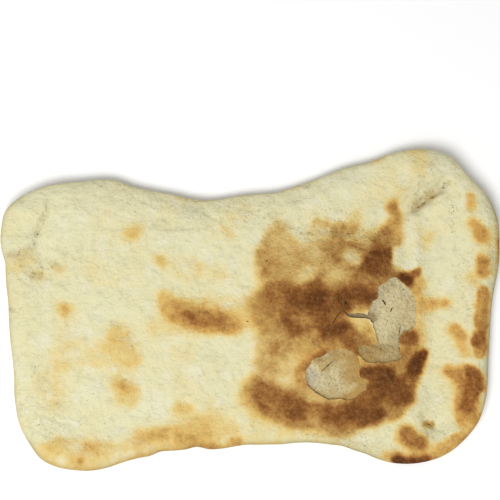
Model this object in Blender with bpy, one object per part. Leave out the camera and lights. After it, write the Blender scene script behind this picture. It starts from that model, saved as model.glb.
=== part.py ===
"""A large flat shaobing: one long wheat flatbread with a waist on each long side, four rounded lobes,
a soft rolled rim, and a puffed blister on its right half that has burst open in two places.

Metres, +Z up. The bread lies on its flat underside, and the origin is the middle of its bounding box
at the underside. +X runs along the bread, +Y towards the long side that the photograph shows at the top.
"""

import math

import bmesh
import bpy
import numpy as np
from mathutils import Vector, noise

MM = 0.001

# Driving sizes
LENGTH = 249.0 * MM
WIDTH = 160.5 * MM
FIELD_THICKNESS = 8.5 * MM
RIM_MIDDLE_HEIGHT = 4.6 * MM
RIM_BAND = 1.0 * MM
TOP_EDGE_ROUNDING = 8.0 * MM
SHOULDER_ROUNDING = 9.0 * MM
UNDER_EDGE_ROUNDING = 6.0 * MM
UNDER_EDGE_LIFT = 1.0 * MM
UNDER_LIFT_REACH = 12.0 * MM
UNDULATION_HEIGHT = 0.5 * MM
UNDULATION_SIZE = 26.0 * MM
UNDULATION_LAYER = 0.7

# Mesh fineness
CELLS_ALONG = 64
CELLS_ACROSS = 42
EDGE_CROWDING = 1.3
OUTLINE_SAMPLES = 720
SAMPLES_PER_SPAN = 40
LINE_END_FADE = 0.22
WELD_DISTANCE = 0.01 * MM

# Finish
CRUST_COLOUR = (0.80, 0.72, 0.46, 1.0)
CRUST_ROUGHNESS = 0.85

# The outline, in millimetres, anticlockwise from the middle of the right end.
OUTLINE_MM = (
    (124.3, 37), (123.9, 43), (122.2, 49), (119.3, 55), (110, 65.3), (98, 77.5), (88, 80.2), (71, 78.2),
    (60, 74), (47.5, 71), (27, 63), (15, 59.3), (-4, 57.2), (-23, 54.8), (-42, 58.3), (-58, 61.5),
    (-68.5, 65), (-86, 64.2), (-101, 62), (-115, 56), (-119.2, 53), (-122.8, 48.2), (-124.1, 42.5),
    (-124.8, 34), (-124.1, 29), (-122.7, 24), (-122.4, 18), (-122.1, 12), (-121.2, 4), (-120.8, -6),
    (-120.1, -16), (-119, -25), (-118.2, -35), (-118.1, -42), (-117.3, -48.5), (-116.2, -54.5),
    (-113.5, -61.4), (-110.6, -66.2), (-104, -74.7), (-97, -78.2), (-88, -80), (-80, -80.4), (-72.5, -79.2),
    (-63, -76.1), (-56.5, -74.3), (-50.5, -73.2), (-45, -71), (-38.5, -70.5), (-32.5, -69.9), (-26.7, -68.6),
    (-20.5, -69.8), (-14.5, -69.5), (-8.5, -68.5), (-2.5, -67.6), (4, -67.5), (10, -67.4), (16, -67.3),
    (22, -66.6), (30, -66.4), (40.2, -67.4), (46.2, -68.2), (51.8, -70.2), (57.5, -72), (63, -74.3),
    (69.2, -76.2), (77, -77), (87, -76), (94, -73.9), (99, -71.4), (109, -62.6), (112, -59), (115, -53.8),
    (117, -48), (119.3, -22), (121, 4), (124.4, 24),
)

# The big blister on the right half. Its slope is a share of its half size.
DOME = {"middle_mm": (43.5, -10), "half_mm": (45, 53), "squareness": 2.4, "slope": 0.5, "rise": 5.4 * MM}

# The openings that the burst blisters left, in millimetres, anticlockwise.
ROUND_BURST_MM = (
    (27.4, -31.9), (28, -36), (31, -39.2), (36.4, -42.9), (43, -44), (49, -43.6), (53.6, -41.3),
    (56, -37), (55.2, -31.5), (54, -26), (51, -21.4), (44.5, -19.2), (38, -20.9), (32, -23.7), (28.6, -27.4),
)
LONG_BURST_MM = (
    (47, -0.6), (50, -3), (58.6, -3.8), (60.4, -7), (61.6, -12), (62.6, -15.9), (54.6, -17.4), (53.6, -19.8),
    (55.4, -23.8), (60, -25), (70, -25), (74.4, -23.3), (73.8, -15), (75.4, -11.2), (79.5, -9.7),
    (82.3, -5.4), (82.4, 3), (80.4, 9.2), (76.2, 13.4), (73, 16.2), (68.6, 15.6), (63.6, 11.6),
    (62.8, 6.5), (59.6, 2.6), (57.5, -1.8), (51, -0.9),
)
# Each opening's flat floor: its middle, the height there, and its lean about the X and Y axes.
ROUND_BURST_FLOOR = {"middle_mm": (41, -32), "height": 12.3 * MM, "lean_deg": (4, -3)}
LONG_BURST_FLOOR = {"middle_mm": (67, -5), "height": 10.9 * MM, "lean_deg": (0, 13)}
CUTTER_REACH = 9.0 * MM

# The long side at +Y slopes off more gently here: middle x and y, half length and half width. Millimetres.
SHOULDER_MM = (-12, 62, 70, 40)
# Puffed places: middle x and y, half length and half width, turn in degrees, height. Millimetres.
PUFFS_MM = (
    (42, -8, 42, 46, 0, 1.6),
    (60, 24, 20, 15, 25, 1.2),
    (8, 27, 15, 17, 0, 1.2),
    (15, -45, 22, 12, -20, 1.4),
    (58, -50, 26, 10, 8, 1.0),
    (78, -31, 9, 16, -20, 1.0),
    (-25, -1.5, 22, 9, -17, 1.6),
    (-65, -17, 15, 17, 0, 1.0),
    (-62, -38, 9, 8, 0, 0.8),
    (-59, 38, 10, 8, 10, 0.7),
    (84, 66, 26, 15, 28, 1.8),
    (-30, 46, 14, 7, 0, 1.0),
    (-96, 46, 24, 15, 10, 1.0),
    (-96, -66, 28, 12, -20, 1.2),
    (92, -66, 20, 10, 20, 1.4),
)
# Rolls along the rim: height, half width, and the points of the crest. Millimetres.
ROLLS_MM = (
    (1.9, 12, ((106, 59), (114, 44), (115, 22), (112, 2), (110, -30), (107, -50), (95, -64))),
    (1.2, 11, ((-114, 46), (-115, 26), (-111, -10), (-109, -44), (-101, -64))),
    (0.9, 10, ((-92, -71), (-70, -70), (-40, -62), (-16, -60))),
)
# Valleys and creases: depth, half width, and the points of the bottom. Millimetres.
VALLEYS_MM = (
    (2.2, 10, ((97.5, 60), (90, 47), (92.5, 5), (91, -35), (88, -58))),
    (2.2, 5.5, ((101, 64), (90, 56.5), (79, 48))),
    (1.2, 6, ((-119, 27), (-109, 29), (-101, 27))),
    (1.2, 5, ((-101.5, 52.5), (-105, 37.5), (-107, 30))),
    (1.2, 7, ((85, -48), (89, -57), (96, -60))),
)
# Corners that curl up off the table: middle x and y, reach, height. Millimetres.
CURLS_MM = (
    (118, 78, 66, 3.6),
    (-126, 66, 60, 3.0),
    (-112, -86, 56, 2.4),
    (112, -80, 56, 2.0),
)


def clear_scene():
    for obj in list(bpy.data.objects):
        bpy.data.objects.remove(obj, do_unlink=True)


def new_collection(name):
    collection = bpy.data.collections.new(name)
    bpy.context.scene.collection.children.link(collection)
    return collection


def crust_material():
    material = bpy.data.materials.new("crust")
    material.use_nodes = True
    shader = material.node_tree.nodes["Principled BSDF"]
    shader.inputs["Base Color"].default_value = CRUST_COLOUR
    shader.inputs["Roughness"].default_value = CRUST_ROUGHNESS
    shader.inputs["Metallic"].default_value = 0.0
    return material


def smooth_loop(points_mm, samples):
    """A closed smooth curve through the points, in metres, at equal steps of its length."""
    points = np.array(points_mm, float) * MM
    step = np.roll(points, -1, axis=0) - points
    span = np.linalg.norm(step, axis=1)[:, None]
    before, span_before = np.roll(step, 1, axis=0), np.roll(span, 1, axis=0)
    tangent = (before / span_before * span + step / span * span_before) / (span + span_before)
    s = np.linspace(0, 1, SAMPLES_PER_SPAN, endpoint=False)[None, :, None]
    start, end = points[:, None], np.roll(points, -1, axis=0)[:, None]
    leave, arrive = (tangent * span)[:, None], (np.roll(tangent, -1, axis=0) * span)[:, None]
    curve = (
        start * (2 * s**3 - 3 * s**2 + 1)
        + leave * (s**3 - 2 * s**2 + s)
        + end * (3 * s**2 - 2 * s**3)
        + arrive * (s**3 - s**2)
    ).reshape(-1, 2)
    closed = np.vstack([curve, curve[:1]])
    travelled = np.concatenate([[0], np.cumsum(np.linalg.norm(np.diff(closed, axis=0), axis=1))])
    wanted = np.linspace(0, travelled[-1], samples, endpoint=False)
    return np.column_stack([np.interp(wanted, travelled, closed[:, axis]) for axis in (0, 1)])


def bread_outline():
    """The bread's outline, with its bounding box centred on the origin and set to the driving sizes."""
    loop = smooth_loop(OUTLINE_MM, OUTLINE_SAMPLES)
    low, high = loop.min(axis=0), loop.max(axis=0)
    return (loop - (low + high) / 2) * np.array([LENGTH, WIDTH]) / (high - low)


def along_line(xy, line):
    """Each point's distance to a chain of straight pieces, and where along the chain it is nearest, 0 to 1."""
    pieces = np.diff(line, axis=0)
    lengths = np.hypot(*pieces.T)
    travelled = np.cumsum(lengths) - lengths
    nearest, place = np.full(len(xy), np.inf), np.zeros(len(xy))
    for start, step, length, before in zip(line, pieces, lengths, travelled):
        offset = xy - start
        share = np.clip(offset @ step / length**2, 0, 1)
        away = np.hypot(*(offset - share[:, None] * step).T)
        closer = away < nearest
        nearest[closer] = away[closer]
        place[closer] = (before + share * length)[closer]
    return nearest, place / lengths.sum()


def soft_bump(reach_share):
    """1 in the middle, falling smoothly to 0 where the share of the reach is 1."""
    return np.clip(1 - reach_share**2, 0, None) ** 2


def straight_fall(reach_share):
    """1 in the middle, falling straight to 0 where the share of the reach is 1."""
    return np.clip(1 - reach_share, 0, None)


def smooth_rise(share):
    """0 up to 0, 1 from 1 on, with level ends."""
    share = np.clip(share, 0, 1)
    return share * share * (3 - 2 * share)


def soft_line(xy, line_mm, half_width_mm):
    """1 on the line, falling smoothly to 0 at the half width and at the line's ends."""
    away, place = along_line(xy, np.array(line_mm, float) * MM)
    ends = smooth_rise(np.minimum(place, 1 - place) / LINE_END_FADE)
    return soft_bump(away / (half_width_mm * MM)) * ends


def oval_share(xy, x, y, half_length, half_width, turn_deg=0.0, squareness=2.0):
    """How far each point is from an oval's middle: 1 on the oval itself. The oval is in millimetres."""
    turn = math.radians(turn_deg)
    dx, dy = xy[:, 0] - x * MM, xy[:, 1] - y * MM
    along = (dx * math.cos(turn) + dy * math.sin(turn)) / (half_length * MM)
    across = (dy * math.cos(turn) - dx * math.sin(turn)) / (half_width * MM)
    return (np.abs(along) ** squareness + np.abs(across) ** squareness) ** (1 / squareness)


def undulation(xy):
    """Slow unevenness of hand-shaped dough."""
    return UNDULATION_HEIGHT * np.array(
        [noise.noise(Vector((x / UNDULATION_SIZE, y / UNDULATION_SIZE, UNDULATION_LAYER))) for x, y in xy]
    )


def curl(xy, form):
    """How far the bread's corners stand off the table, with the form that the rise has over its reach."""
    raised = np.zeros(len(xy))
    for x, y, reach, height in CURLS_MM:
        raised += height * MM * form(oval_share(xy, x, y, reach, reach))
    return raised


def crown(xy):
    """Height of the upper crust before the rim rounds it off."""
    height = FIELD_THICKNESS + undulation(xy)
    dome_share = oval_share(xy, *DOME["middle_mm"], *DOME["half_mm"], squareness=DOME["squareness"])
    height += DOME["rise"] * smooth_rise((1 - dome_share) / DOME["slope"])
    for x, y, half_length, half_width, turn_deg, rise in PUFFS_MM:
        height += rise * MM * soft_bump(oval_share(xy, x, y, half_length, half_width, turn_deg))
    for sign, forms in ((1, ROLLS_MM), (-1, VALLEYS_MM)):
        for rise, half_width, crest in forms:
            height += sign * rise * MM * soft_line(xy, crest, half_width)
    return height


def quarter_round(inward, radius):
    """0 at the rim, 1 from radius inwards, along a quarter of a circle."""
    return np.sqrt(np.clip(1 - (1 - np.clip(inward / radius, 0, 1)) ** 2, 0, 1))


def crust_heights(xy, outline):
    """Heights of the upper crust and of the underside."""
    inward, _ = along_line(xy, np.vstack([outline, outline[:1]]))
    shoulder = soft_bump(oval_share(xy, *SHOULDER_MM))
    rounding = quarter_round(inward, TOP_EDGE_ROUNDING + SHOULDER_ROUNDING * shoulder)
    middle, half_band = RIM_MIDDLE_HEIGHT, RIM_BAND / 2
    upper = middle + half_band + (crown(xy) - middle - half_band) * rounding
    lift = UNDER_EDGE_LIFT * straight_fall(inward / UNDER_LIFT_REACH)
    under = lift + (middle - half_band - lift) * (1 - quarter_round(inward, UNDER_EDGE_ROUNDING))
    return upper + curl(xy, soft_bump), under + curl(xy, straight_fall)


def squared_to_outline(xy, outline):
    """Moves a rectangle's points so that its edge lies on the outline and its rows crowd towards it."""
    half = np.array([LENGTH, WIDTH]) / 2
    ring = np.abs(xy / half).max(axis=1)
    angle = np.arctan2(xy[:, 1], xy[:, 0])
    order = np.argsort(np.arctan2(outline[:, 1], outline[:, 0]))
    sorted_angles = np.arctan2(outline[order, 1], outline[order, 0])
    reach = np.interp(angle, sorted_angles, np.hypot(*outline[order].T), period=2 * math.pi)
    ring_out = 1 - (1 - ring) ** EDGE_CROWDING
    return np.column_stack([np.cos(angle), np.sin(angle)]) * (reach * ring_out)[:, None]


def build_loaf(outline, collection, material):
    """The bread before its blisters burst: a grid drawn to the outline and doubled into two crusts."""
    bpy.ops.mesh.primitive_grid_add(x_subdivisions=CELLS_ALONG, y_subdivisions=CELLS_ACROSS, size=1)
    loaf = bpy.context.object
    for owner in list(loaf.users_collection):
        owner.objects.unlink(loaf)
    collection.objects.link(loaf)
    loaf.name = "shaobing"
    mesh = bmesh.new()
    mesh.from_mesh(loaf.data)
    under = list(mesh.verts)
    doubled = bmesh.ops.extrude_face_region(mesh, geom=list(mesh.faces))["geom"]
    upper = [item for item in doubled if isinstance(item, bmesh.types.BMVert)]
    for verts, is_upper in ((under, False), (upper, True)):
        flat = np.array([v.co[:2] for v in verts]) * np.array([LENGTH, WIDTH])
        xy = squared_to_outline(flat, outline)
        heights = crust_heights(xy, outline)[0 if is_upper else 1]
        for vert, (x, y), z in zip(verts, xy, heights):
            vert.co = (x, y, z)
    bmesh.ops.recalc_face_normals(mesh, faces=mesh.faces)
    mesh.to_mesh(loaf.data)
    mesh.free()
    loaf.data.shade_smooth()
    loaf.data.materials.append(material)
    return loaf


def burst_cutter(name, points_mm, floor, collection):
    """A straight-sided plug of an opening's outline. Its lower face is the opening's leaning floor."""
    middle = Vector((*floor["middle_mm"], 0)) * MM
    curve = bpy.data.curves.new(name, "CURVE")
    curve.dimensions = "2D"
    curve.fill_mode = "BOTH"
    curve.extrude = CUTTER_REACH / 2
    spline = curve.splines.new("POLY")
    spline.points.add(len(points_mm) - 1)
    for point, (x, y) in zip(spline.points, points_mm):
        point.co = (x * MM - middle.x, y * MM - middle.y, 0, 1)
    spline.use_cyclic_u = True
    drawn = bpy.data.objects.new(name + "_outline", curve)
    collection.objects.link(drawn)
    drawn.rotation_euler = [math.radians(angle) for angle in (*floor["lean_deg"], 0)]
    drawn.location = middle + Vector((0, 0, floor["height"] + CUTTER_REACH / 2))
    bpy.context.view_layer.update()
    evaluated = drawn.evaluated_get(bpy.context.evaluated_depsgraph_get())
    plug_mesh = bpy.data.meshes.new_from_object(evaluated)
    plug = bpy.data.objects.new(name, plug_mesh)
    plug.matrix_world = drawn.matrix_world.copy()
    collection.objects.link(plug)
    bpy.data.objects.remove(drawn, do_unlink=True)
    welded = bmesh.new()
    welded.from_mesh(plug_mesh)
    bmesh.ops.remove_doubles(welded, verts=welded.verts, dist=WELD_DISTANCE)
    bmesh.ops.recalc_face_normals(welded, faces=welded.faces)
    welded.to_mesh(plug_mesh)
    welded.free()
    plug.hide_render = True
    plug.display_type = "WIRE"
    return plug


def cut(target, cutter):
    modifier = target.modifiers.new("cut_" + cutter.name, "BOOLEAN")
    modifier.operation = "DIFFERENCE"
    modifier.solver = "EXACT"
    modifier.object = cutter


def main():
    clear_scene()
    bread = new_collection("shaobing")
    cutters = new_collection("cutters")
    outline = bread_outline()
    loaf = build_loaf(outline, bread, crust_material())
    cut(loaf, burst_cutter("round_burst", ROUND_BURST_MM, ROUND_BURST_FLOOR, cutters))
    cut(loaf, burst_cutter("long_burst", LONG_BURST_MM, LONG_BURST_FLOOR, cutters))


main()
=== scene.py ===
"""How the large flat shaobing looks: the fine relief of its crust, its browning, its burst blisters, and the
plain floor, light and camera.

Metres, +Z up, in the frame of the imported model. Places are in millimetres where the name ends so, and in the
strokes of colour: each is a level, the radius of its full core, the soft width beyond it and the points
of its line.
"""

import math

import bmesh
import bpy
import numpy as np
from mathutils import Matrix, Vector, noise
from mathutils.kdtree import KDTree

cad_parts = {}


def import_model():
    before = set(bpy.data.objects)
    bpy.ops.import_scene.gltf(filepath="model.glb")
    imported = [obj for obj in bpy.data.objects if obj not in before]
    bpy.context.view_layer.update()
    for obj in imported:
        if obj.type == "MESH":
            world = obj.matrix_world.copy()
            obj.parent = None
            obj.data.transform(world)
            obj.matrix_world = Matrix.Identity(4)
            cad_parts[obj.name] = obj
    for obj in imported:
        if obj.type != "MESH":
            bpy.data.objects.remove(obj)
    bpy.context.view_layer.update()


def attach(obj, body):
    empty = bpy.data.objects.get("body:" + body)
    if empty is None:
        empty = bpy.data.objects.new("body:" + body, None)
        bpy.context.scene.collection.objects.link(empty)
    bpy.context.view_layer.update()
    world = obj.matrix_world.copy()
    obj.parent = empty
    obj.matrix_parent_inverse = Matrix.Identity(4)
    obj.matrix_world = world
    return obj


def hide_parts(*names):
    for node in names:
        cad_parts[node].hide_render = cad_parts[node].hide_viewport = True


MM = 0.001

# Sizes of the solid, as in its source
LENGTH = 249.0 * MM
WIDTH = 160.5 * MM
FIELD_THICKNESS = 8.5 * MM
RIM_MIDDLE_HEIGHT = 4.6 * MM
RIM_BAND = 1.0 * MM
TOP_EDGE_ROUNDING = 8.0 * MM
SHOULDER_ROUNDING = 9.0 * MM
UNDER_EDGE_ROUNDING = 6.0 * MM
UNDER_EDGE_LIFT = 1.0 * MM
UNDER_LIFT_REACH = 12.0 * MM
UNDERSIDE_RELIEF = 0.12 * MM
THINNEST = 0.1 * MM
# Slow unevenness of the upper crust
UNDULATION_HEIGHT = 0.5 * MM
UNDULATION_SIZE = 26.0 * MM
UNDULATION_LAYER = 0.7
# Steps of the outline, crowding of the mesh towards the rim, and the share of a line over which it fades
OUTLINE_SAMPLES = 720
SAMPLES_PER_SPAN = 40
EDGE_CROWDING = 1.3
LINE_END_FADE = 0.22

# The outline seen from above, and the big blister
OUTLINE_MM = (
    (124.3, 37), (123.9, 43), (122.2, 49), (119.3, 55), (110, 65.3), (98, 77.5), (88, 80.2), (71, 78.2),
    (60, 74), (47.5, 71), (27, 63), (15, 59.3), (-4, 57.2), (-23, 54.8), (-42, 58.3), (-58, 61.5),
    (-68.5, 65), (-86, 64.2), (-101, 62), (-115, 56), (-119.2, 53), (-122.8, 48.2), (-124.1, 42.5),
    (-124.8, 34), (-124.1, 29), (-122.7, 24), (-122.4, 18), (-122.1, 12), (-121.2, 4), (-120.8, -6),
    (-120.1, -16), (-119, -25), (-118.2, -35), (-118.1, -42), (-117.3, -48.5), (-116.2, -54.5),
    (-113.5, -61.4), (-110.6, -66.2), (-104, -74.7), (-97, -78.2), (-88, -80), (-80, -80.4), (-72.5, -79.2),
    (-63, -76.1), (-56.5, -74.3), (-50.5, -73.2), (-45, -71), (-38.5, -70.5), (-32.5, -69.9),
    (-26.7, -68.6), (-20.5, -69.8), (-14.5, -69.5), (-8.5, -68.5), (-2.5, -67.6), (4, -67.5), (10, -67.4),
    (16, -67.3), (22, -66.6), (30, -66.4), (40.2, -67.4), (46.2, -68.2), (51.8, -70.2), (57.5, -72),
    (63, -74.3), (69.2, -76.2), (77, -77), (87, -76), (94, -73.9), (99, -71.4), (109, -62.6), (112, -59),
    (115, -53.8), (117, -48), (119.3, -22), (121, 4), (124.4, 24),
)
DOME = {"middle_mm": (43.5, -10), "half_mm": (45, 53), "squareness": 2.4, "slope": 0.5, "rise": 5.4 * MM}
# Where the upper edge is rounder: middle x and y, half length and half width
SHOULDER_MM = (-12, 62, 70, 40)
# Swellings: middle x and y, half length and half width, turn, rise
PUFFS_MM = (
    (42, -8, 42, 46, 0, 1.6), (60, 24, 20, 15, 25, 1.2), (8, 27, 15, 17, 0, 1.2),
    (15, -45, 22, 12, -20, 1.4), (58, -50, 26, 10, 8, 1), (78, -31, 9, 16, -20, 1),
    (-25, -1.5, 22, 9, -17, 1.6), (-65, -17, 15, 17, 0, 1), (-62, -38, 9, 8, 0, 0.8),
    (-59, 38, 10, 8, 10, 0.7), (84, 66, 26, 15, 28, 1.8), (-30, 46, 14, 7, 0, 1),
    (-96, 46, 24, 15, 10, 1), (-96, -66, 28, 12, -20, 1.2), (92, -66, 20, 10, 20, 1.4),
)
# Rolls along the rim, and the creases between them: height, half width, and the points of the line
ROLLS_MM = (
    (1.9, 12, ((106, 59), (114, 44), (115, 22), (112, 2), (110, -30), (107, -50), (95, -64))),
    (1.2, 11, ((-114, 46), (-115, 26), (-111, -10), (-109, -44), (-101, -64))),
    (0.9, 10, ((-92, -71), (-70, -70), (-40, -62), (-16, -60))),
)
VALLEYS_MM = (
    (2.2, 10, ((97.5, 60), (90, 47), (92.5, 5), (91, -35), (88, -58))),
    (2.2, 5.5, ((101, 64), (90, 56.5), (79, 48))), (1.2, 6, ((-119, 27), (-109, 29), (-101, 27))),
    (1.2, 5, ((-101.5, 52.5), (-105, 37.5), (-107, 30))), (1.2, 7, ((85, -48), (89, -57), (96, -60))),
)
# Corners that stand off the table: x, y, reach and height
CURLS_MM = (
    (118, 78, 66, 3.6), (-126, 66, 60, 3), (-112, -86, 56, 2.4), (112, -80, 56, 2),
)

# Fineness of the visible mesh
UPPER_CELLS = (288, 184)
UNDERSIDE_KEPT = 0.17
UNDERSIDE_MARGIN = 0.02 * MM
FINE_RIM = 0.5 * MM
SLIT_STEP = 0.5 * MM
OPENING_CELLS = (60, 60)
OPENING_SAMPLES = 240
POCKET_SAMPLES = 180
CUTTER_MARGIN = 3 * MM
SHARP_EDGE_DEG = 50
# Cells after which the smooth noise repeats
LATTICE = 64

# Fine relief: rise, below zero for a fall, half width, and the points of its line
FINE_LINES_MM = (
    # crease of the upper right lobe, and the folds around it
    (-1, 1.3, ((102, 66.6), (97.8, 62.6), (92.8, 57.8), (87, 53.4), (82.6, 50.2))),
    (0.9, 2, ((99.6, 62), (94.4, 56.4), (88.8, 52), (84.4, 48.8))),
    (-0.7, 3.4, ((100, 67.4), (95, 63), (90, 58.6), (84, 54.4), (80, 52))),
    (-0.5, 1.6, ((84, 51), (78, 46), (74, 43.6))), (-0.5, 2, ((68, 64), (72, 66.5), (76, 71), (77, 77))),
    (-0.4, 1.6, ((88, 78), (93, 71), (98, 66))), (-0.5, 2.2, ((58, 66), (66, 62), (72, 57), (77, 50))),
    (0.4, 2.6, ((76, 62), (84, 65), (92, 66))),
    # folds of the upper left corner
    (-0.7, 1.3, ((-100.6, 56), (-101.2, 48), (-104.6, 43), (-105.9, 37.4), (-107.4, 32.6), (-109.4, 28.6))),
    (0.4, 2.4, ((-98, 54), (-98.6, 47), (-102, 40), (-103.4, 34))),
    (-0.6, 1.3, ((-123, 29), (-117, 27.4), (-111, 28.4), (-106, 30), (-101, 28.6))),
    (-0.4, 1.4, ((-119, 40), (-114, 38), (-110, 39.4))), (-0.4, 1.2, ((-100, 44), (-93, 47), (-88, 50))),
    (-0.5, 1.8, ((-123, 22), (-117, 20), (-112, 14), (-111, 4))),
    (-0.5, 1.3, ((-122, 0.5), (-117, 0.8), (-113, -1))),
    # arcs of the lower left corner
    (-0.4, 1.3, ((-119, -42), (-112, -47), (-104, -51.4), (-94, -55), (-82, -59), (-66, -60.5))),
    (-0.3, 1.1, ((-102, -48), (-92, -53), (-80, -56))),
    (-0.35, 1.2, ((-113, -56), (-106, -60), (-98, -62.4), (-90, -63))),
    (-0.3, 1.1, ((-86, -38), (-82, -45), (-74, -51))),
    # wrinkles along the top of the big blister
    (-0.7, 1.1, ((24, 38.7), (31, 38.2), (37, 40.2), (44, 39))),
    (-0.7, 1.2, ((38, 41), (46, 38.6), (53, 37.8), (59, 37.2), (66, 38))),
    (0.6, 1.6, ((33, 36.2), (42, 36.6), (50, 35), (56, 32))),
    (-0.5, 1.1, ((9, 48), (13, 44.8), (17, 43.6), (22, 42.2), (28, 41.6))),
    (-0.4, 1, ((31, 34.6), (30, 30), (26, 25))), (-0.4, 1, ((36, 43.4), (44, 41.4), (53, 42.8))),
    (-0.4, 1, ((43, 46), (48, 44), (54, 45.4))),
    # fold along the right edge of the blister's darkest patch, and its lower edge
    (-0.9, 1.3, ((70.6, 36), (70.9, 31), (71, 25), (71.2, 18))),
    (0.6, 2.6, ((67.4, 35), (67.6, 28), (67.8, 19))), (-0.35, 1.6, ((46, -47), (58, -48.6), (68, -47))),
    (0.4, 1.6, ((48, -50.4), (58, -50.8), (68, -48.6))), (-0.4, 2, ((70, -46), (76, -50), (80, -46))),
    # wrinkles around the pit of the lower right corner
    (-0.5, 1.4, ((84, -48), (87, -55), (87.5, -62))), (-0.45, 1.2, ((88, -54), (91, -63), (90, -73))),
    (-0.45, 1.2, ((86, -57), (95, -60), (104, -63))), (-0.35, 1.1, ((90, -50), (94, -54), (99, -56))),
    # slope along the bottom edge
    (-0.6, 1.8, ((24, -60.6), (42, -62), (56, -66), (68, -72))),
    (0.6, 2.8, ((26, -64), (44, -65.4), (58, -69.5))),
    # pads along the top shoulder
    (-0.6, 1.8, ((-46, 42.6), (-36, 40.6), (-28, 41.4), (-18, 44))),
    (-0.5, 1.8, ((-43, 53), (-42.4, 46), (-40.5, 42))), (-0.5, 1.8, ((-24, 52), (-20, 47), (-16, 43.6))),
    (0.6, 3.4, ((-74, 55), (-66, 53), (-58, 49.4))), (-0.5, 1.8, ((-78, 52), (-68, 49.4), (-58, 45))),
    (-0.5, 2, ((-58, 58), (-50, 53), (-44, 50))), (-0.5, 1.8, ((-96, 58), (-86, 55), (-78, 57))),
    (-0.4, 1.8, ((-10, 53), (-2, 49), (6, 51))), (0.4, 2.6, ((12, 50), (22, 52), (34, 56))),
    # lip of the round burst, the thin crack, and the far reach of the long burst's pocket
    (-0.75, 4.8, ((32, -41.4), (28, -37), (26.6, -32), (28, -27.6), (31, -24), (37, -20.6), (44, -18))),
    (-0.6, 0.9, ((46.2, 0.6), (42.7, -2.6), (40.4, -6.8))), (0.4, 3.4, ((84.5, 10), (86, 0), (84, -8))),
)
# Small bumps, pits and flakes: middle x and y, half length and half width, turn, rise
FINE_SPOTS_MM = (
    (-92, 0.5, 5, 4.4, 0, 0.4), (-63, -38, 4.4, 4, 0, 0.4), (-62, -20, 9, 10, 0, 0.35),
    (-45, 24.4, 3.2, 2.8, 0, 0.35), (-29, -2.4, 6.5, 4, -17, 0.4), (-38, 3, 7, 5, -40, 0.35),
    (-108, 18, 5, 4, 0, -0.4), (-104, 50, 10, 7, 70, 0.5), (-30, 46, 11, 5, 0, 0.4), (-7, 40, 8, 4, 5, 0.3),
    (89, -57, 3.4, 2.6, 0, -1.2), (82.5, 50.6, 3, 1.6, 35, -0.9), (27, 61, 3.4, 1.2, -20, 0.45),
    (45.4, 5.6, 5, 5, 0, 0.7), (46.2, 5, 3, 3.2, 0, -1.5), (84, -26.6, 5.6, 4.2, 60, 0.5),
    (64, 24.5, 7, 6, 10, 0.5), (111, -38, 4.6, 12, 8, 0.5), (115, 38, 4, 8, 20, 0.4),
    (115, 23, 3.6, 5, 0, 0.4), (114.5, 0, 3.4, 13, 0, 0.4), (80, -62, 8, 5, -35, 0.5),
    (66, -33, 9, 6, -20, 0.4), (79, -13, 4.4, 3.4, 0, 0.5), (22, -47, 10, 6, -30, 0.4),
    (58, -52, 9, 3.4, 5, 0.4), (24, -8.4, 5, 3.2, 0, 0.3), (36, -8, 4.4, 7, 0, 0.35),
    (48, -10, 4.4, 3.6, 0, 0.35), (13, 32, 8, 9, 0, 0.4), (84, 70, 14, 9, 20, 0.6),
    (60, 62, 10, 6, 20, 0.4), (98, 42, 12, 20, 0, 0.3),
)
# Unevenness of the whole crust, of the bursts' floors and of the underside: height, size and seed
GRAIN_RELIEF = ((0.4 * MM, 10 * MM, 31), (0.34 * MM, 5.2 * MM, 32), (0.18 * MM, 2.4 * MM, 33))
FLOOR_RELIEF = ((0.22 * MM, 3.2 * MM, 51), (0.13 * MM, 1.5 * MM, 52))
UNDERSIDE_LUMPS = ((1, 4 * MM, 92), (0.4, 1.7 * MM, 93))
LUMP_LEVEL = 1.2
# How lines, strokes and torn edges waver: share, size and seed
LINE_WAVER = ((0.7, 5 * MM, 41), (0.3, 2 * MM, 43))
LINE_BREAKS = (0.45, 6 * MM, 45)
LINE_STRENGTH = 0.75
STROKE_WAVER_MM = ((0.8, 8, 11), (0.45, 2.6, 12))
SLIT_WAVER = (0.35, 0.9 * MM, 46)
TEETH = (0.3 * MM, 1.3 * MM)
# Sharp little folds where the dough was pulled: height, size and seed, and the middle, half length, half
# width and turn of the places that have them
FOLD_RELIEF = (0.95 * MM, 11.0 * MM, 34)
FOLD_CREST = 0.5
FOLD_SHARPNESS = 1.6
FOLDED_PLACES_MM = (
    (-20, 58, 90, 14, -2), (-106, 34, 20, 32, 0), (84, 64, 34, 20, 30), (92, -62, 24, 16, 20),
    (-100, -64, 26, 14, -25), (46, 40, 26, 9, 0), (40, -66, 60, 8, 0),
)

# The skin of the blister, and how a burst's floor grows shallower where it rises
SKIN = 0.55 * MM
FLOOR_SHALLOWING = 0.72
FLOOR_CURVE = 1.5
# The round burst: its torn edge, its middle and reach, and its floor
ROUND_EDGE_MM = (
    (27.4, -30.9), (27.7, -34.6), (28.7, -37), (30.7, -38.8), (32.8, -40.8), (36.4, -42.9), (39.2, -43.8),
    (45.5, -43.7), (47.2, -44.4), (51.1, -43.6), (54.4, -41.2), (57.4, -37.8), (57.2, -35.2), (54.9, -33),
    (53.8, -30), (54.4, -27.4), (53.6, -24), (50, -19.6), (44.3, -18.8), (41.7, -19.2), (38.9, -20.4),
    (36.4, -21.7), (34.8, -23), (32, -23.5), (30.2, -24.8), (29.5, -26.8), (27.9, -28.9),
)
ROUND_MIDDLE_MM = (41, -32)
ROUND_REACH = 18.5 * MM
ROUND_FLOOR_MM = {
    "edge_depth": 0.9, "depth": 1.7, "bowl": (41, -33, 18, 14), "rise_from": (34, -34), "rise_to": (55, -29),
}
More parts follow.
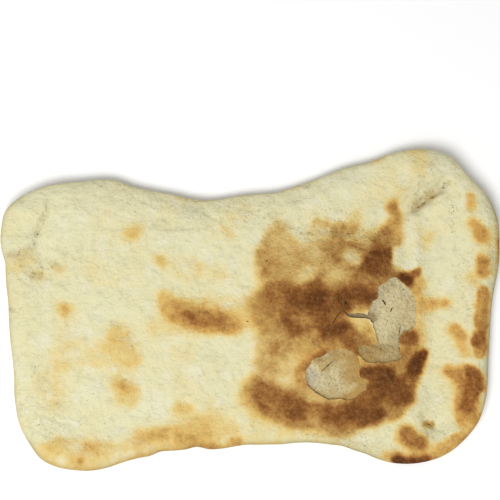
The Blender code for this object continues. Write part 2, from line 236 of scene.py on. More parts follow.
# The long burst: the same, in two parts, with the crack, the pocket under its skin and the flap of skin
LONG_EDGE_MM = (
    (69.5, 15.8), (67.8, 14.5), (65.5, 13.1), (63.5, 11.8), (62.8, 9.8), (63.1, 7.8), (62.8, 6.1),
    (61.5, 5.4), (59.8, 3.1), (58.8, 0.4), (58.1, -2.1), (59.4, -4.3), (60.1, -5.3), (60.8, -7.7),
    (61.5, -10.3), (62.5, -13.7), (62.8, -16), (62.2, -20), (63.5, -25.1), (70.2, -25.1), (73.5, -24.4),
    (74.8, -22.4), (73.8, -19.4), (73.8, -16), (74.5, -12.3), (76.2, -10.7), (79.5, -9.7), (81.9, -7.7),
    (82.7, -4.3), (82.5, -1), (82.4, 2.4), (81.5, 6.5), (79.9, 9.8), (77.9, 12.1), (76.2, 13.1),
    (73.5, 16.1), (71.5, 16.3),
)
LONG_MIDDLE_MM = (68.5, -5)
CORNER_EDGE_MM = (
    (53.4, -17.7), (53.1, -19.7), (54.8, -23.1), (56.8, -24.7), (63.5, -25.1), (66.5, -22), (65.5, -17),
    (62.8, -16), (61.5, -16.7), (58.8, -17),
)
CORNER_MIDDLE_MM = (60, -20.6)
CRACK_EDGE_MM = (
    (45.9, 0.4), (47.2, -0.7), (48.6, -1.3), (50.1, -1.4), (53.4, -1), (55.8, -1.3), (58.1, -2.1),
    (61, -2.4), (61, -4.6), (59.4, -4.3), (56.8, -3.6), (53.4, -3.5), (50.1, -3.3), (48.1, -2.6),
    (46.9, -1.2),
)
LONG_FLOOR_MM = {
    "edge_depth": 0.8, "depth": 1.9, "bowl": (69, -4, 18, 24), "rise_from": (74, -2), "rise_to": (87, 0),
}
LONG_POCKET_MM = (67.2, -4.5, 14.2, 20, 8)
# How the pocket closes: over which share of its reach, and to which share of its height. How far it stays
# under the skin, and its least half height.
POCKET_EDGE = 0.25
POCKET_EDGE_SHARE = 0.03
POCKET_DROP = 0.05 * MM
POCKET_HALF_HEIGHT = 0.02 * MM
# Reach of the long burst, depth of the crack, and the flap: middle x and y, half sizes, turn and sag
LONG_REACH_MM = (65, -4, 24, 26)
CRACK_DEPTH = 1.5 * MM
FLAP_SAG_MM = (60, -10, 7.5, 8, 20, 0.7)
# Thin slits and pits: how wide they are at the top and at the bottom, how sharp at the ends, and how far
# around them and how fast downwards they are darkened with painted shade, which also darkens the pits of the
# specks
SLIT_TOP_WIDTH = 1.3
SLIT_BOTTOM_WIDTH = 0.4
SLIT_TIP = 0.03
FEWEST_SLIT_RINGS = 5
SLIT_SHADE_WIDTH = 1.5
SLIT_SHADE_MARGIN = 0.1
SLIT_SHADE_RISE = 1.6
# The slits of the crust and of the bursts' floors: half width, depth, and the points of the line
CRUST_SLITS_MM = (
    # the hairline that runs on from the crack, the pit above it and the arc around the pit
    (0.26, 0.8, (45.6, 0.1), (43.6, -1.6), (42, -4), (40.6, -6.6)), (0.62, 1.4, (46.8, 5), (48, 3.4)),
    (0.16, 0.5, (44.8, 8.9), (43.4, 6.8), (43.5, 4.4), (45.4, 2.4)), (0.34, 0.9, (8, 24.7), (8.6, 24.7)),
    (0.22, 0.5, (-2, -5.3), (-0.6, -5.6)), (0.22, 0.5, (20.2, -18.4), (21, -18.7)),
    # wrinkles along the top of the big blister
    (0.11, 0.35, (28, 38.9), (31, 38.7)), (0.12, 0.4, (39.4, 39.3), (43.4, 38.8)),
    (0.12, 0.4, (47.4, 38.3), (52.6, 38)), (0.11, 0.35, (55.6, 37.6), (58.4, 36.6)),
    (0.11, 0.35, (12.2, 44.5), (14.6, 43.8)), (0.11, 0.35, (38.4, 46.4), (39.4, 45.2)),
    (0.11, 0.35, (41.4, 45.4), (42.4, 44.4)), (0.11, 0.35, (44.4, 44.5), (45.8, 44.2)),
    # crease of the upper right lobe
    (0.12, 0.4, (96.8, 61.2), (95.4, 60.4)), (0.15, 0.5, (91.2, 56.6), (89.4, 55.2)),
    (0.16, 0.5, (88, 54.2), (86, 52.7)), (0.13, 0.4, (84.8, 51.8), (83.4, 50.8)),
    (0.14, 0.4, (101, 49.8), (100.8, 48.6)), (0.12, 0.35, (100.4, 45.2), (100.1, 43.8)),
    (0.12, 0.35, (99.8, 42), (99.5, 41)), (0.14, 0.4, (79, 45.2), (78.6, 44.6)),
    # left corner
    (0.1, 0.3, (-101, 53), (-101.2, 48.6)), (0.26, 0.6, (-105.5, 38.3), (-106, 37.3)),
    (0.22, 0.5, (-107, 33.4), (-107.4, 32.7)), (0.1, 0.3, (-116, 27.6), (-113.6, 28)),
    (0.1, 0.3, (-108.4, 19.2), (-106.8, 17.8)), (0.14, 0.4, (-120.2, 0.8), (-119, 0.4)),
    # specks
    (0.24, 0.5, (-74.4, 61.8), (-73.6, 62)), (0.22, 0.5, (-68.3, 25.9), (-67.8, 25.6)),
    (0.18, 0.4, (-106.9, -28), (-106.3, -28.1)), (0.18, 0.4, (-104.9, -56.4), (-104.2, -56.7)),
    (0.18, 0.4, (-75.3, -65), (-74.7, -64.8)), (0.18, 0.4, (-20.3, -62.4), (-19.7, -62.2)),
    # pit and wrinkles of the lower right corner
    (0.26, 0.7, (88, -56.6), (90.2, -57.2)), (0.11, 0.35, (88.4, -60.4), (88.6, -62.6)),
    (0.14, 0.4, (97.6, -60.2), (98.8, -60.6)),
)
ROUND_FLOOR_SLITS_MM = (
    (0.2, 0.7, (35.1, -30.2), (38.6, -27), (42, -23.7)), (0.14, 0.5, (39.6, -35), (38.8, -37.4)),
)
LONG_FLOOR_SLITS_MM = (
    (0.5, 1, (65.2, 5.6), (66.2, 4.6), (67.3, 2.7)), (0.32, 0.8, (70.6, 1.6), (69.5, -0.5)),
    (0.3, 0.7, (76.3, 10.7), (75.9, 10.1)), (0.24, 0.6, (73.9, 6.5), (73.4, 5.7)),
    (0.22, 0.7, (74.8, -6.9), (74.3, -9.6), (73.8, -13)), (0.3, 0.7, (64, -18.2), (65, -19.3)),
)

# Browning of the crust, in strokes, by region
BROWNING = (
    # golden ground of the big blister, and the lip of the round burst
    (0.34, 3.4, 5, (10, 24), (9.6, 4), (9.6, -16), (9.8, -28)),
    (0.33, 5.6, 6, (14, 28), (30, 24), (46, 25), (60, 28)),
    (0.42, 6, 5.4, (14, -13), (40, -12), (48, -9)), (0.45, 5, 6, (12, -25), (22, -24), (24, -36)),
    (0.42, 6.4, 4.8, (4.4, -40.6), (20, -47.4), (44, -51), (66, -46)),
    (0.42, 6, 5, (58, -34), (72, -36), (76, -28)), (0.34, 3.6, 4, (77, -26), (78.4, -15)),
    (0.52, 3, 5.6, (11, 7), (30, 6), (56, 9), (64, 13)),
    (0.52, 4, 5.6, (17, -8.4), (30, -10), (46, -14)),
    (0.42, 2.4, 5, (13, -16), (26, -17), (36, -18), (48, -18)),
    (0.5, 4, 5.4, (6, -41.6), (22, -48.4), (46, -54), (66, -49)),
    (0.5, 2.2, 3.8, (57, -27.6), (72, -28), (78, -24), (78.6, -14)),
    (0.36, 2.4, 4.6, (33, 29), (44, 32), (56, 31), (66, 34)),
    (0.48, 0.8, 2.2, (23, -33), (24.8, -28.6), (28.6, -24.6), (33, -21.8), (43, -17.6)),
    (0.58, 1.1, 1.4, (25.2, -33.4), (24.6, -31), (26.6, -27.2), (31, -23.4), (37, -20)),
    (0.78, 0.3, 1.2, (31.4, -23.6), (36.4, -21.8)), (0.66, 0.3, 1.2, (27.2, -29), (28.6, -26.8)),
    (0.18, 1.6, 6, (2, -52), (20, -58), (32, -59)), (0.24, 1.4, 4.2, (32, 38), (40, 37), (58, 36)),
    # upper left lobe of the big blister
    (0.45, 1.8, 4, (15, 39.6), (13.5, 38)), (0.44, 2.2, 4.4, (12, 35), (8, 29), (8, 23)),
    (0.38, 2, 5, (16, 33), (15, 24)), (0.4, 1.5, 5, (20, 31), (22.5, 27)),
    (0.58, 1.7, 4.4, (7.6, 26), (9.4, 21.6), (12, 20)), (0.46, 1.6, 4.2, (27.5, 26), (24.5, 21), (20, 17)),
    # dark band
    (0.62, 2, 4.4, (12, 6), (20, 7), (36, 7), (56, 8)), (0.66, 0.8, 3.2, (9.6, 11), (12, 10.4)),
    (0.74, 1, 3.6, (17, 11.4), (19, 11)), (0.66, 1.6, 4, (13, 5.6), (22, 4.6)),
    (0.82, 1.5, 3.8, (26.4, 8.4), (33, 8.4)), (0.72, 1, 3.4, (32, 12.6), (35, 11.4)),
    (0.82, 1.6, 4.2, (20, 4), (34, 4)), (0.73, 1.6, 4.5, (20, 0), (32, 0)),
    (0.92, 1, 4, (31, 4.5), (34.5, 6)), (0.84, 1.8, 4.2, (36, 3), (43, 5.4)),
    (0.82, 1.6, 3.8, (44, 9), (53, 8.4)), (0.88, 1.2, 3.2, (55, 7.4), (60.8, 6.4)),
    (0.5, 1.6, 4.4, (5, 3.5), (6.4, 0), (7, -8)), (0.34, 1.4, 4.6, (0.6, 4.6), (1.4, -6)),
    # square patch and the streak above it
    (0.46, 1.2, 2.9, (70.6, 41), (73, 46), (70.6, 51.6)),
    (0.44, 1.1, 3.4, (71.6, 43), (73.4, 36), (72.4, 33)), (0.44, 1.2, 4, (54, 31), (59, 33.4)),
    (0.54, 1.4, 4.4, (55, 13.6), (61, 13.4)), (0.62, 2, 3.4, (61, 16.2), (66, 16), (69.6, 18)),
    (0.66, 1.5, 3.5, (64, 33), (66.3, 36), (67, 38.6)), (0.84, 2.2, 3, (58.5, 21.2), (66.6, 22.2)),
    (0.9, 2.4, 3.2, (60.5, 24.5), (66.6, 25.8)), (0.82, 1.4, 3.2, (62.8, 29), (66.8, 29)),
    # wrinkled top of the big blister
    (0.4, 0.5, 2.2, (33, 44), (38, 42.8)), (0.5, 0.9, 2.9, (43, 41.2), (51, 40.4)),
    (0.22, 1.4, 4.2, (50, 43), (52.4, 46.4)), (0.3, 1, 3.4, (35, 31), (39, 31)),
    (0.44, 1, 3.4, (37, 28.6), (38.6, 26.4)), (0.52, 1.2, 3.6, (34.5, 21), (35, 18.6)),
    (0.6, 1.4, 4.2, (52, 23), (55, 17)), (0.64, 1.4, 3, (43.6, 35), (47, 32), (53, 30.4)),
    (0.56, 0.9, 3.2, (42, 29), (43.4, 26)),
    # middle of the big blister
    (0.4, 1.4, 2.8, (58.6, -11), (60.6, -14.4)), (0.58, 1.4, 4.6, (12.5, -17), (16.4, -18.5)),
    (0.32, 1.4, 4.6, (11, -10), (10.6, -16)), (0.52, 0.9, 3.8, (21, -13.4), (26, -13.2)),
    (0.78, 0.8, 3.4, (17.2, -3.6), (18.6, -5.4)), (0.8, 1.2, 4, (22, -8.4), (26, -8.8)),
    (0.86, 1.8, 3.8, (35.5, -1.5), (36.5, -7), (38, -10.4)),
    (0.72, 1.3, 2.6, (46.6, -12.8), (50.4, -14.6), (51.8, -19)), (0.9, 1.2, 3, (43.6, -9.8), (46.4, -9)),
    (0.8, 1.1, 2.4, (50.4, -14.4), (52.2, -19.4)), (0.7, 1.2, 3, (42.6, -1), (44, -6)),
    (0.92, 1.3, 3, (43, 3), (44.8, 5), (46.4, 2)), (0.53, 1.3, 2.3, (48, 2), (54, 1.9), (60.4, 2.8)),
    (0.46, 2.2, 2.4, (55.4, -8), (59, -14.6)), (0.62, 1.4, 2.6, (52.4, -15.4), (57, -17.4)),
    (0.5, 1.4, 2.6, (40, -18.4), (47, -17.6)), (0.34, 2.4, 4, (38, 17), (50, 17)),
    # lower left end of the big blister
    (0.76, 2.2, 3.6, (9, -46), (14, -48.2)), (0.62, 2.2, 4, (4.6, -41), (8, -44.8), (18, -50)),
    (0.72, 2.2, 4, (5.6, -41), (14, -43.5), (20, -46)), (0.62, 1.4, 4.6, (9, -50.6), (23, -53)),
    (0.82, 1.6, 4, (20.5, -43), (24, -43.5), (27, -47)), (0.9, 1.6, 3.8, (21, -49.2), (24.6, -48.8)),
    # bottom of the big blister
    (0.4, 1.8, 4.2, (39, -58), (48, -59)), (0.64, 2.8, 5, (32.6, -52), (48, -54.4), (60, -51)),
    (0.58, 1.6, 4.4, (42, -57), (49.6, -57)), (0.54, 1.6, 4, (66, -46), (71.6, -48)),
    (0.8, 1.2, 3.2, (35.4, -48), (38, -49.8)), (0.5, 1.2, 3.4, (75, -47), (78.5, -44)),
    (0.8, 1.2, 4.2, (40, -51), (43, -53)), (0.84, 1, 2.8, (45, -49), (48.8, -50)),
    (0.76, 1.6, 3.6, (54, -46.6), (61, -43.2)), (0.84, 2.2, 4.4, (59, -42.4), (68, -40)),
    (0.98, 1.4, 4.2, (53, -51.8), (57, -53)), (0.96, 1.2, 3.2, (58, -53.4), (63.4, -51.8)),
    (0.6, 0.7, 3.2, (71, -52.4), (73.5, -51)),
    # right of the round burst
    (0.76, 2.4, 3.8, (65, -38.6), (75, -43.4)), (0.88, 2.4, 3.8, (65.6, -35), (71.6, -37)),
    (0.86, 1.8, 3.4, (73, -38), (75.6, -42)), (0.86, 1, 2.4, (56, -30.6), (60, -30.8)),
    (0.92, 2, 3.4, (62.8, -31.4), (68, -31.8)), (0.9, 0.8, 1.8, (55.6, -31.4), (57.6, -32.4)),
    # right of the long burst
    (0.3, 1, 3.2, (84.5, 4), (84, -2), (85, -15)), (0.66, 1.2, 2.2, (77, -22), (79, -26)),
    (0.74, 1.4, 4.4, (80, -32.5), (78, -37)), (0.64, 0.7, 2.8, (77, -15), (77.4, -17.6)),
    (0.84, 1.2, 2.9, (77.6, -13.6), (80.4, -13)), (1, 2.1, 2.4, (82, -28.4), (84.8, -24)),
    (0.96, 1, 2, (85.6, -24), (87.2, -21.8)),
    # spike at the top of the long burst
    (0.14, 1, 3, (71, 17.6), (74, 20)), (0.26, 1.2, 3.2, (83.4, 12), (86, 14)),
    (0.46, 0.9, 2.6, (80.4, 13), (82.2, 10)), (0.38, 0.8, 2.4, (83, 17.4), (84.4, 13)),
    (0.72, 0.7, 2, (79.4, 17.2), (82.4, 18.6)), (0.56, 0.3, 1.5, (82.4, 18.2), (84.6, 20.6)),
    (1, 1, 2.8, (76.6, 16.6), (78.6, 15.2)),
    # slash on the left field; its last stroke is painted shade along the slash's lower edge
    (0.4, 1.4, 4, (-42.4, 6), (-40.4, 0)), (0.31, 4.6, 3.4, (-34, 0.4), (-20, -4), (-9, -6)),
    (0.49, 2.9, 3.8, (-34, -0.8), (-28, -2.6), (-12, -6)),
    (0.63, 1.3, 3.4, (-30.4, -3.2), (-24, -4.8), (-13.4, -6.6)), (0.77, 0.7, 3.2, (-30.8, -2), (-28, -3.2)),
    (0.42, 2, 2.8, (-30, -6.4), (-20, -8.2), (-10.4, -8.4)), (0.26, 1.4, 4.6, (-37, -7), (-33, -8)),
    (0.14, 2, 6, (-20, 4), (-6, 4)), (0.14, 1.2, 2.4, (-38, -10.6), (-16, -13)),
    # left field
    (0.28, 0.8, 5, (-61.4, 38), (-57.4, 39)), (0.34, 0.8, 3.8, (-45.5, 25), (-44, 23.5)),
    (0.2, 2, 5, (-34, 21), (-27, 22)), (0.14, 2, 5, (-18, 18), (-14, 17)),
    (0.13, 2.6, 4.5, (-76, 18), (-70, 15)), (0.24, 0.6, 5, (-93.5, 1.2), (-91, 0)),
    (0.46, 0.2, 2.2, (-92.4, 0.6), (-91.6, 0.2)), (0.2, 1.6, 5, (-90, -12), (-89, -15)),
    (0.2, 1.6, 5, (-94, -21), (-93.5, -26)), (0.3, 3.4, 5.6, (-65, -14), (-63, -19), (-61.4, -24)),
    (0.16, 3.2, 6, (-72, -21), (-78, -23)), (0.24, 2, 5, (-65, -37), (-61, -38)),
    (0.44, 0.6, 3.6, (-63, -38.4), (-61.5, -39)), (0.28, 2, 5, (-62, -42), (-60, -43)),
    (0.15, 3.2, 5.6, (-101, -37), (-97, -41)), (0.1, 2, 5, (-48, -8), (-42, -7)),
    (0.15, 2, 4.5, (-36, -21), (-30, -20)), (0.16, 2, 4.5, (-8, 47.5), (-4, 48.5)),
    (0.24, 0.8, 3.4, (-10.8, 39.2), (-9.5, 38.6)),
    (0.14, 3.4, 6, (-102, -71), (-84, -74), (-60, -71), (-36, -66), (0, -64)),
    # lower rim, and the creases of the left corner
    (0.18, 2.4, 5, (-93, -67), (-80, -70), (-66, -71)),
    (0.26, 1, 2.8, (-104, -74), (-98, -77), (-88, -79), (-78, -79), (-64, -75.6), (-52, -72.6)),
    (0.34, 0.9, 2.6, (-54, -73), (-40, -70.4), (-26, -68.4), (-12, -69)),
    (0.18, 2.4, 3, (-118, 23.6), (-110, 26.6)), (0.16, 1.2, 2.4, (-107, 18.4), (-105, 17.4)),
    (0.12, 1.2, 2.6, (-97, 22.4), (-94, 20.8)), (0.34, 0.8, 3.6, (-94.5, -65.4), (-91, -65.6)),
    (0.34, 0.8, 3.8, (-99.5, -68.5), (-97, -69)), (0.38, 0.9, 3.6, (-80, -69), (-77, -69.2)),
    (0.34, 0.9, 3.6, (-75, -66.4), (-71.6, -67.2)), (0.36, 0.9, 3.6, (-87, -73), (-83, -74)),
    (0.5, 0.3, 1.6, (-84, -74.6), (-83.2, -74.9)), (0.29, 2.4, 5, (-54, -67), (-40, -64.4), (-24, -63)),
    (0.36, 1, 3.8, (-53, -63.4), (-48, -62.4)), (0.39, 1.1, 4, (-43, -61), (-38, -61)),
    (0.48, 1.2, 5, (-33, -63.5), (-29, -64)), (0.38, 1, 4.4, (-27, -56), (-23, -57)),
    (0.17, 1.6, 5, (-38, -53.4), (-31, -54)), (0.28, 2, 7, (-20, -58), (-10, -60)),
    (0.56, 0.5, 2.2, (-24, -67.4), (-19, -67.6)), (0.54, 0.5, 2.2, (-9, -66), (-6, -66.2)),
    (0.32, 0.8, 3.6, (-35, -48), (-32, -48.6)), (0.16, 1.4, 4.6, (-20, -48), (-18, -50)),
    (0.16, 3, 6, (0, -62), (20, -62)),
    # right rim, the crease and pits beside it, and the lower right corner
    (0.38, 0.7, 3, (109, 56), (109.8, 51.5)), (0.38, 1, 3, (110.6, 43.6), (113.4, 40), (116.2, 36.8)),
    (0.43, 0.8, 2.8, (112.6, 38.6), (115.4, 36.8)), (0.42, 1.4, 2.8, (114.8, 25.2), (115.8, 19.6)),
    (0.57, 0.6, 2.2, (114.4, 24.8), (116.8, 24.2)), (0.58, 0.6, 2.2, (114.8, 19.6), (116, 18.8)),
    (0.18, 0.8, 4, (110.2, 16.5), (110.8, 14.5)), (0.53, 2.7, 2.3, (115.8, 8.4), (115, 1), (115.4, -7)),
    (0.6, 2, 2.6, (114.8, -13.4), (115, -19.6)), (0.8, 1, 2.4, (112, -14.8), (115, -14)),
    (0.5, 1.1, 3.4, (101.6, -9.8), (104.6, -13)), (0.34, 0.9, 3.4, (105, -17.4), (107.4, -20.8)),
    (0.5, 0.5, 1.5, (124.2, 34), (124, 25)), (0.1, 1.2, 2.4, (92, 58.6), (87, 55.4), (82, 51.6)),
    (0.3, 0.6, 1.8, (87.6, -56.6), (90.2, -57)), (0.12, 1, 4, (117, 34), (118.5, 30)),
    (0.54, 1.1, 3.4, (98.8, -30.8), (102, -31.8)), (0.62, 1.2, 3, (103.4, -34.2), (106.4, -36.6)),
    (0.4, 0.9, 2, (105, -29), (108.6, -28.2)),
    (0.72, 1.9, 2.6, (110.2, -30.8), (111.8, -35.6), (109.8, -42), (108, -48)),
    (0.8, 1, 3, (113.4, -33), (114, -37.4)), (0.46, 1.4, 3.2, (106, -38), (105.2, -46), (105.6, -54)),
    (0.46, 1.2, 3.8, (111.5, -46), (109.5, -54)), (0.52, 0.5, 2.4, (106.5, -56), (111, -52.5)),
    (0.32, 1.2, 3.6, (93, -70.5), (101, -66.5), (107.5, -61.5), (113, -54)),
    (0.5, 1.1, 3.6, (94.4, -67.6), (100, -66.2), (104, -64.4)), (0.36, 0.9, 3.2, (85, 3), (96.6, 3.2)),
    (0.22, 1, 4, (84, 2), (89, -1)), (0.05, 2, 5, (91, -7), (96, -9)),
    (0.06, 2, 5, (94, -30), (98, -38)), (0.24, 1.3, 3.4, (89, 37), (87.6, 32.6)),
    (0.16, 1.2, 3, (124, 46), (124.6, 32), (122.6, 20)), (0.18, 1, 3.4, (82, 41.4), (82.6, 40.4)),
    (0.22, 1.4, 4.6, (84, 75.5), (84.6, 72.5)), (0.12, 3, 7, (65, 68), (69, 60)),
    (0.64, 0.9, 3.6, (77.6, -61.4), (79.5, -63)), (0.7, 0.9, 3.6, (81, -64), (85, -66.4)),
    (0.44, 1.8, 4.2, (76, -63.6), (83, -67.6)), (0.46, 1, 2.6, (71.6, -73.4), (78, -73.4), (85, -73.6)),
    (0.96, 1, 2.2, (73, -74.6), (80, -75.4), (87, -75)), (0.38, 0.8, 3.2, (68, -72), (72, -72.6)),
    (0.46, 0.8, 3, (84, -74), (91, -73)),
)

# Places that stayed pale inside the browned ones, in strokes of the share taken away
PALE_PLACES = (
    (0.5, 1.2, 2.8, (50.6, 27.8), (51.8, 25)), (0.1, 1.2, 3, (28, 18.8), (30.5, 18.2)),
    (0.22, 1, 2.4, (32.4, 26), (34, 27)), (0.12, 0.8, 2.4, (30.6, -45.4), (31, -53.4)),
    (0.1, 1, 3, (12, 18.6), (18, 15)), (0.1, 1, 3, (11.6, -7), (12, -12)),
    (0.18, 2, 4, (17.5, -31.5), (19, -26)), (0.26, 1.4, 3.4, (20, -38), (26, -41)),
    (0.26, 0.7, 1.8, (30, -43.8), (35, -44.8)), (0.4, 1, 1.6, (73.2, 25), (73.4, 30)),
    (0.2, 0.6, 1.2, (56, 0), (59, 0.8)), (0.4, 1.2, 2.4, (52, -4.8), (55, -7.4)),
    (0.18, 0.8, 1.6, (54.8, -4.4), (58, -5)),
)

# Browning of the bread inside the bursts
FLOOR_LEVELS = (
    (0.05, 4, 5, (30, -31), (34, -37.6)), (0.8, 3, 4, (54, -20), (60, -21.5)),
    (0.62, 3, 4, (60, -21.5), (72, -22)), (0.22, 3, 5, (66, 9), (62, 2), (66, -8)),
    (0.36, 4, 6, (72, 8), (70, -4), (68, -14)), (0.5, 2, 4, (79, 4), (79, -6)),
    (0.44, 1.6, 2, (72.6, -18), (72.6, -24)), (0.42, 4, 4, (42, -30), (42, -36)),
    (0.48, 2.4, 3, (47, -38.4), (50, -39)), (0.7, 1.4, 3, (34, -24.4), (36.4, -27.4), (42, -22.4)),
    (0.66, 1, 2.4, (32, -41), (46, -43.4)), (0.9, 1.6, 4.4, (47, -21), (50, -27), (50, -32)),
    (1.05, 1.2, 2.6, (53.6, -25), (54, -31), (55.6, -36.4), (54.4, -40.4), (49, -43.6)),
)
# Painted shade in creases, folds and along the shoulders and the bottom slope of the crust, with dark pits and
# charred specks
PAINTED_SHADE_AND_SPECKS = (
    (0.3, 0.3, 1.3, (98, 62.8), (92.8, 57.8), (87, 53.4), (82.6, 50.2), (79, 47.8)),
    (0.62, 0.5, 1.2, (90.4, 56), (87, 53.4), (84.4, 51.5)),
    (0.4, 0.9, 1.8, (90.6, 57.6), (87, 55), (83.6, 53)), (0.1, 2.4, 3, (94, 62), (87, 58.6), (80, 54)),
    (0.16, 1, 2.6, (119.8, 27.6), (120.8, 22)), (0.1, 1, 2.6, (92.6, 37), (95.4, 28)),
    (0.1, 1, 2.6, (83, 51), (78, 47.4), (74, 45)), (0.1, 1.6, 3.6, (92, 70), (98, 65)),
    (0.08, 2, 4.6, (78, 58), (86, 62)), (0.07, 4, 5, (-82, 58), (-70, 57)),
    (0.09, 2, 4, (-46, 56), (-32, 54)),
    (0.18, 0.3, 1.2, (-100.8, 55), (-101.2, 48), (-104.8, 43), (-106, 37)),
    (0.22, 1.2, 2, (-118.5, 27.2), (-112, 28.4), (-108.5, 30)), (0.07, 2, 3, (-113, 22), (-109, 16)),
    (0.08, 1.4, 3.6, (-104, 24), (-98, 20)), (0.4, 0.3, 0.9, (-105.6, 38.4), (-106.2, 37.2)),
    (0.4, 0.3, 0.9, (-107, 33.6), (-107.4, 32.6)), (0.26, 0.7, 1.4, (-107.4, 18.4), (-105.4, 17.2)),
    (0.2, 0.6, 1.4, (-96.6, 22.6), (-94, 20.8)), (0.22, 0.4, 1.2, (-120.5, 0.9), (-118.4, 0.2)),
    (0.14, 0.5, 1.6, (24, 38.6), (32, 38.8), (40, 40), (50, 38.4), (60, 37.4)),
    (0.14, 0.5, 1.8, (10, 47.4), (15, 44), (20, 42.4)),
    (0.36, 0.2, 0.9, (25, 62.4), (27.4, 61), (30, 62.6)), (0.5, 0.5, 1.2, (47, 5), (48.4, 3)),
    (0.2, 0.3, 1.2, (44.8, 8.9), (43.4, 6.8), (43.5, 4.4), (45.4, 2.4)),
    (0.72, 0.9, 1.3, (88, -56.6), (90, -57)), (0.24, 0.3, 1.1, (87.6, -59), (88, -66)),
    (0.22, 0.3, 1.1, (90.4, -59), (91, -64)), (0.16, 0.4, 1.6, (86, -50), (87, -55)),
    (0.08, 2, 4, (84, -44), (88, -52)), (0.12, 0.8, 3, (-46, 41.6), (-34, 40.8), (-22, 42.4)),
    (0.06, 1.6, 4, (-62, 58), (-50, 55), (-20, 53), (0, 54.4)),
    (0.1, 1.6, 4, (10, 57), (28, 60), (50, 68)), (0.12, 1, 3.6, (44, -63.4), (56, -66), (64, -69.4)),
)
# Painted shade inside the bursts: under their torn edges, in the crack, along a slit and over parts of the
# floors
FLOOR_SHADE = (
    (0.16, 0.4, 1.4, (74.6, -7), (73.6, -12), (72.2, -18)), (0.14, 0.6, 1.6, (36, -31), (42, -24)),
    (0.26, 0.8, 1.8, (33, -24.4), (37.4, -22.4), (42, -20.6)),
    (0.16, 1.2, 2.6, (60.6, -1), (61.4, 3), (64, 8), (68, 12.6)), (0.22, 0.8, 2, (66, 11.4), (69, 13.4)),
    (0.12, 0.8, 2, (38, -42), (46, -42.6)), (0.1, 2, 3, (42, -39), (37, -34), (32, -38)),
    (0.08, 2, 3, (46, -31), (48, -32)), (0.6, 1.4, 1.6, (48, -1.6), (56, -2.6), (60, -3.4)),
    (0.36, 1.6, 3, (54.2, -20.4), (56.4, -21.6)), (0.22, 2.4, 3.4, (59, -21.4), (66, -21.6)),
    (0.12, 2, 3, (68, -21), (71.6, -22)), (0.15, 1.4, 2.6, (71, -14.6), (71.6, -16)),
    (0.34, 0.3, 1.1, (27.6, -31), (28.6, -36.6), (33, -40.8), (39, -43.6), (47, -44)),
    (0.3, 0.3, 1, (59, -4), (61, -9), (62.6, -15.5)),
    (0.34, 0.3, 1.1, (53.6, -18.4), (55.2, -23.2), (58, -24.8), (70, -25), (73.4, -24.4)),
    (0.4, 0.3, 0.9, (46, 0.2), (50, -3), (57, -3.6)),
)
# What a surface sends back of the light that falls on it, to look like the colours below
SURFACE_SHARE = 0.84
# Crust colours from pale to char. The first number is the browning.
CRUST_COLOURS = (
    (0, (233, 228, 186)), (0.12, (235, 224, 174)), (0.25, (233, 210, 141)), (0.38, (226, 191, 113)),
    (0.5, (208, 166, 91)), (0.62, (184, 138, 74)), (0.74, (160, 108, 53)), (0.86, (134, 84, 38)),
    (1, (107, 63, 26)), (1.15, (82, 47, 21)),
)
MOST_BROWNING = 1.2
# How steeply a stroke fades, what torn walls and the rim add to the browning, and how far in that reaches
STROKE_FALL = 0.84
TORN_BROWNING = 0.3
RIM_BROWNING = 0.12
RIM_BROWNING_REACH = 1.6 * MM
SIDE_BROWNING_REACH = 8 * MM
# How the browning wanders down the rim's side: distance, size and seed, and where it starts
SIDE_DRIFT = (3 * MM, 5 * MM, 83)
DRIFT_START = 0.65
DRIFT_RANGE = 0.4
DRIFT_REACH = 10 * MM
DRIFT_STRETCH = 2.5
# How far up the side the upper crust starts, how far down a burst its torn wall and its floor's bread
# begin and are full, and the browning at which the painted shade and tan of the rim end
UPPER_CRUST_START = 0.25
TORN_RANGE = 0.2
INNER_START = 0.55
INNER_RANGE = 0.35
RIM_SHADE_END = 0.9
# The underside's evenly golden browning, and where its spots start and how brown they are
UNDERSIDE_BROWNING = 0.26
UNDERSIDE_SPOT_START = 0.15
UNDERSIDE_SPOT_RANGE = 0.9
UNDERSIDE_SPOT_BROWNING = 0.5
# Spots and broad tones of the underside, and unevenness of the rim's browning and of the painted shade and
# specks: share, size and seed
UNDERSIDE_SPOTS = ((1, 9 * MM, 71), (0.5, 4 * MM, 72))
UNDERSIDE_TONES = (0.16, 38 * MM, 73)
RIM_UNEVENNESS = (1, 12 * MM, 82)
SHADE_AND_SPECK_UNEVENNESS = (0.4, 1.6 * MM, 81)
SHADE_AND_SPECK_STRENGTH = 0.8
# The bread inside the bursts: from damp and grey to dry and golden. Its walls are browner than the crust.
CRUMB_COLOURS = (
    (0, (196, 184, 156)), (0.3, (222, 209, 164)), (0.6, (206, 186, 134)), (1, (192, 154, 88)),
)
# Share of painted shade on the rim's outer band, where it curves down to the table, together with a duller,
# unfloured tan of the rim itself, and how far in it fades
RIM_SHADE_AND_TAN = (
    (0.38, 12, 10, (-126, 45), (-122, 5)), (0.26, 12, 10, (-121, -4), (-118, -56)),
    (0.92, 10, 6, (-104, -76), (-85, -80), (-60, -76)), (0.95, 12, 8, (-46, -72), (30, -67), (50, -70)),
    (0.74, 12, 8, (66, -76), (96, -75)), (0.62, 12, 8, (114, -58), (119, -30)),
    (0.82, 12, 8, (120, -20), (124, 12), (126, 40)),
)
RIM_SHADE_REACH = 1.5 * MM
RIM_SHADE_AND_TAN_COLOUR = (152, 137, 92)
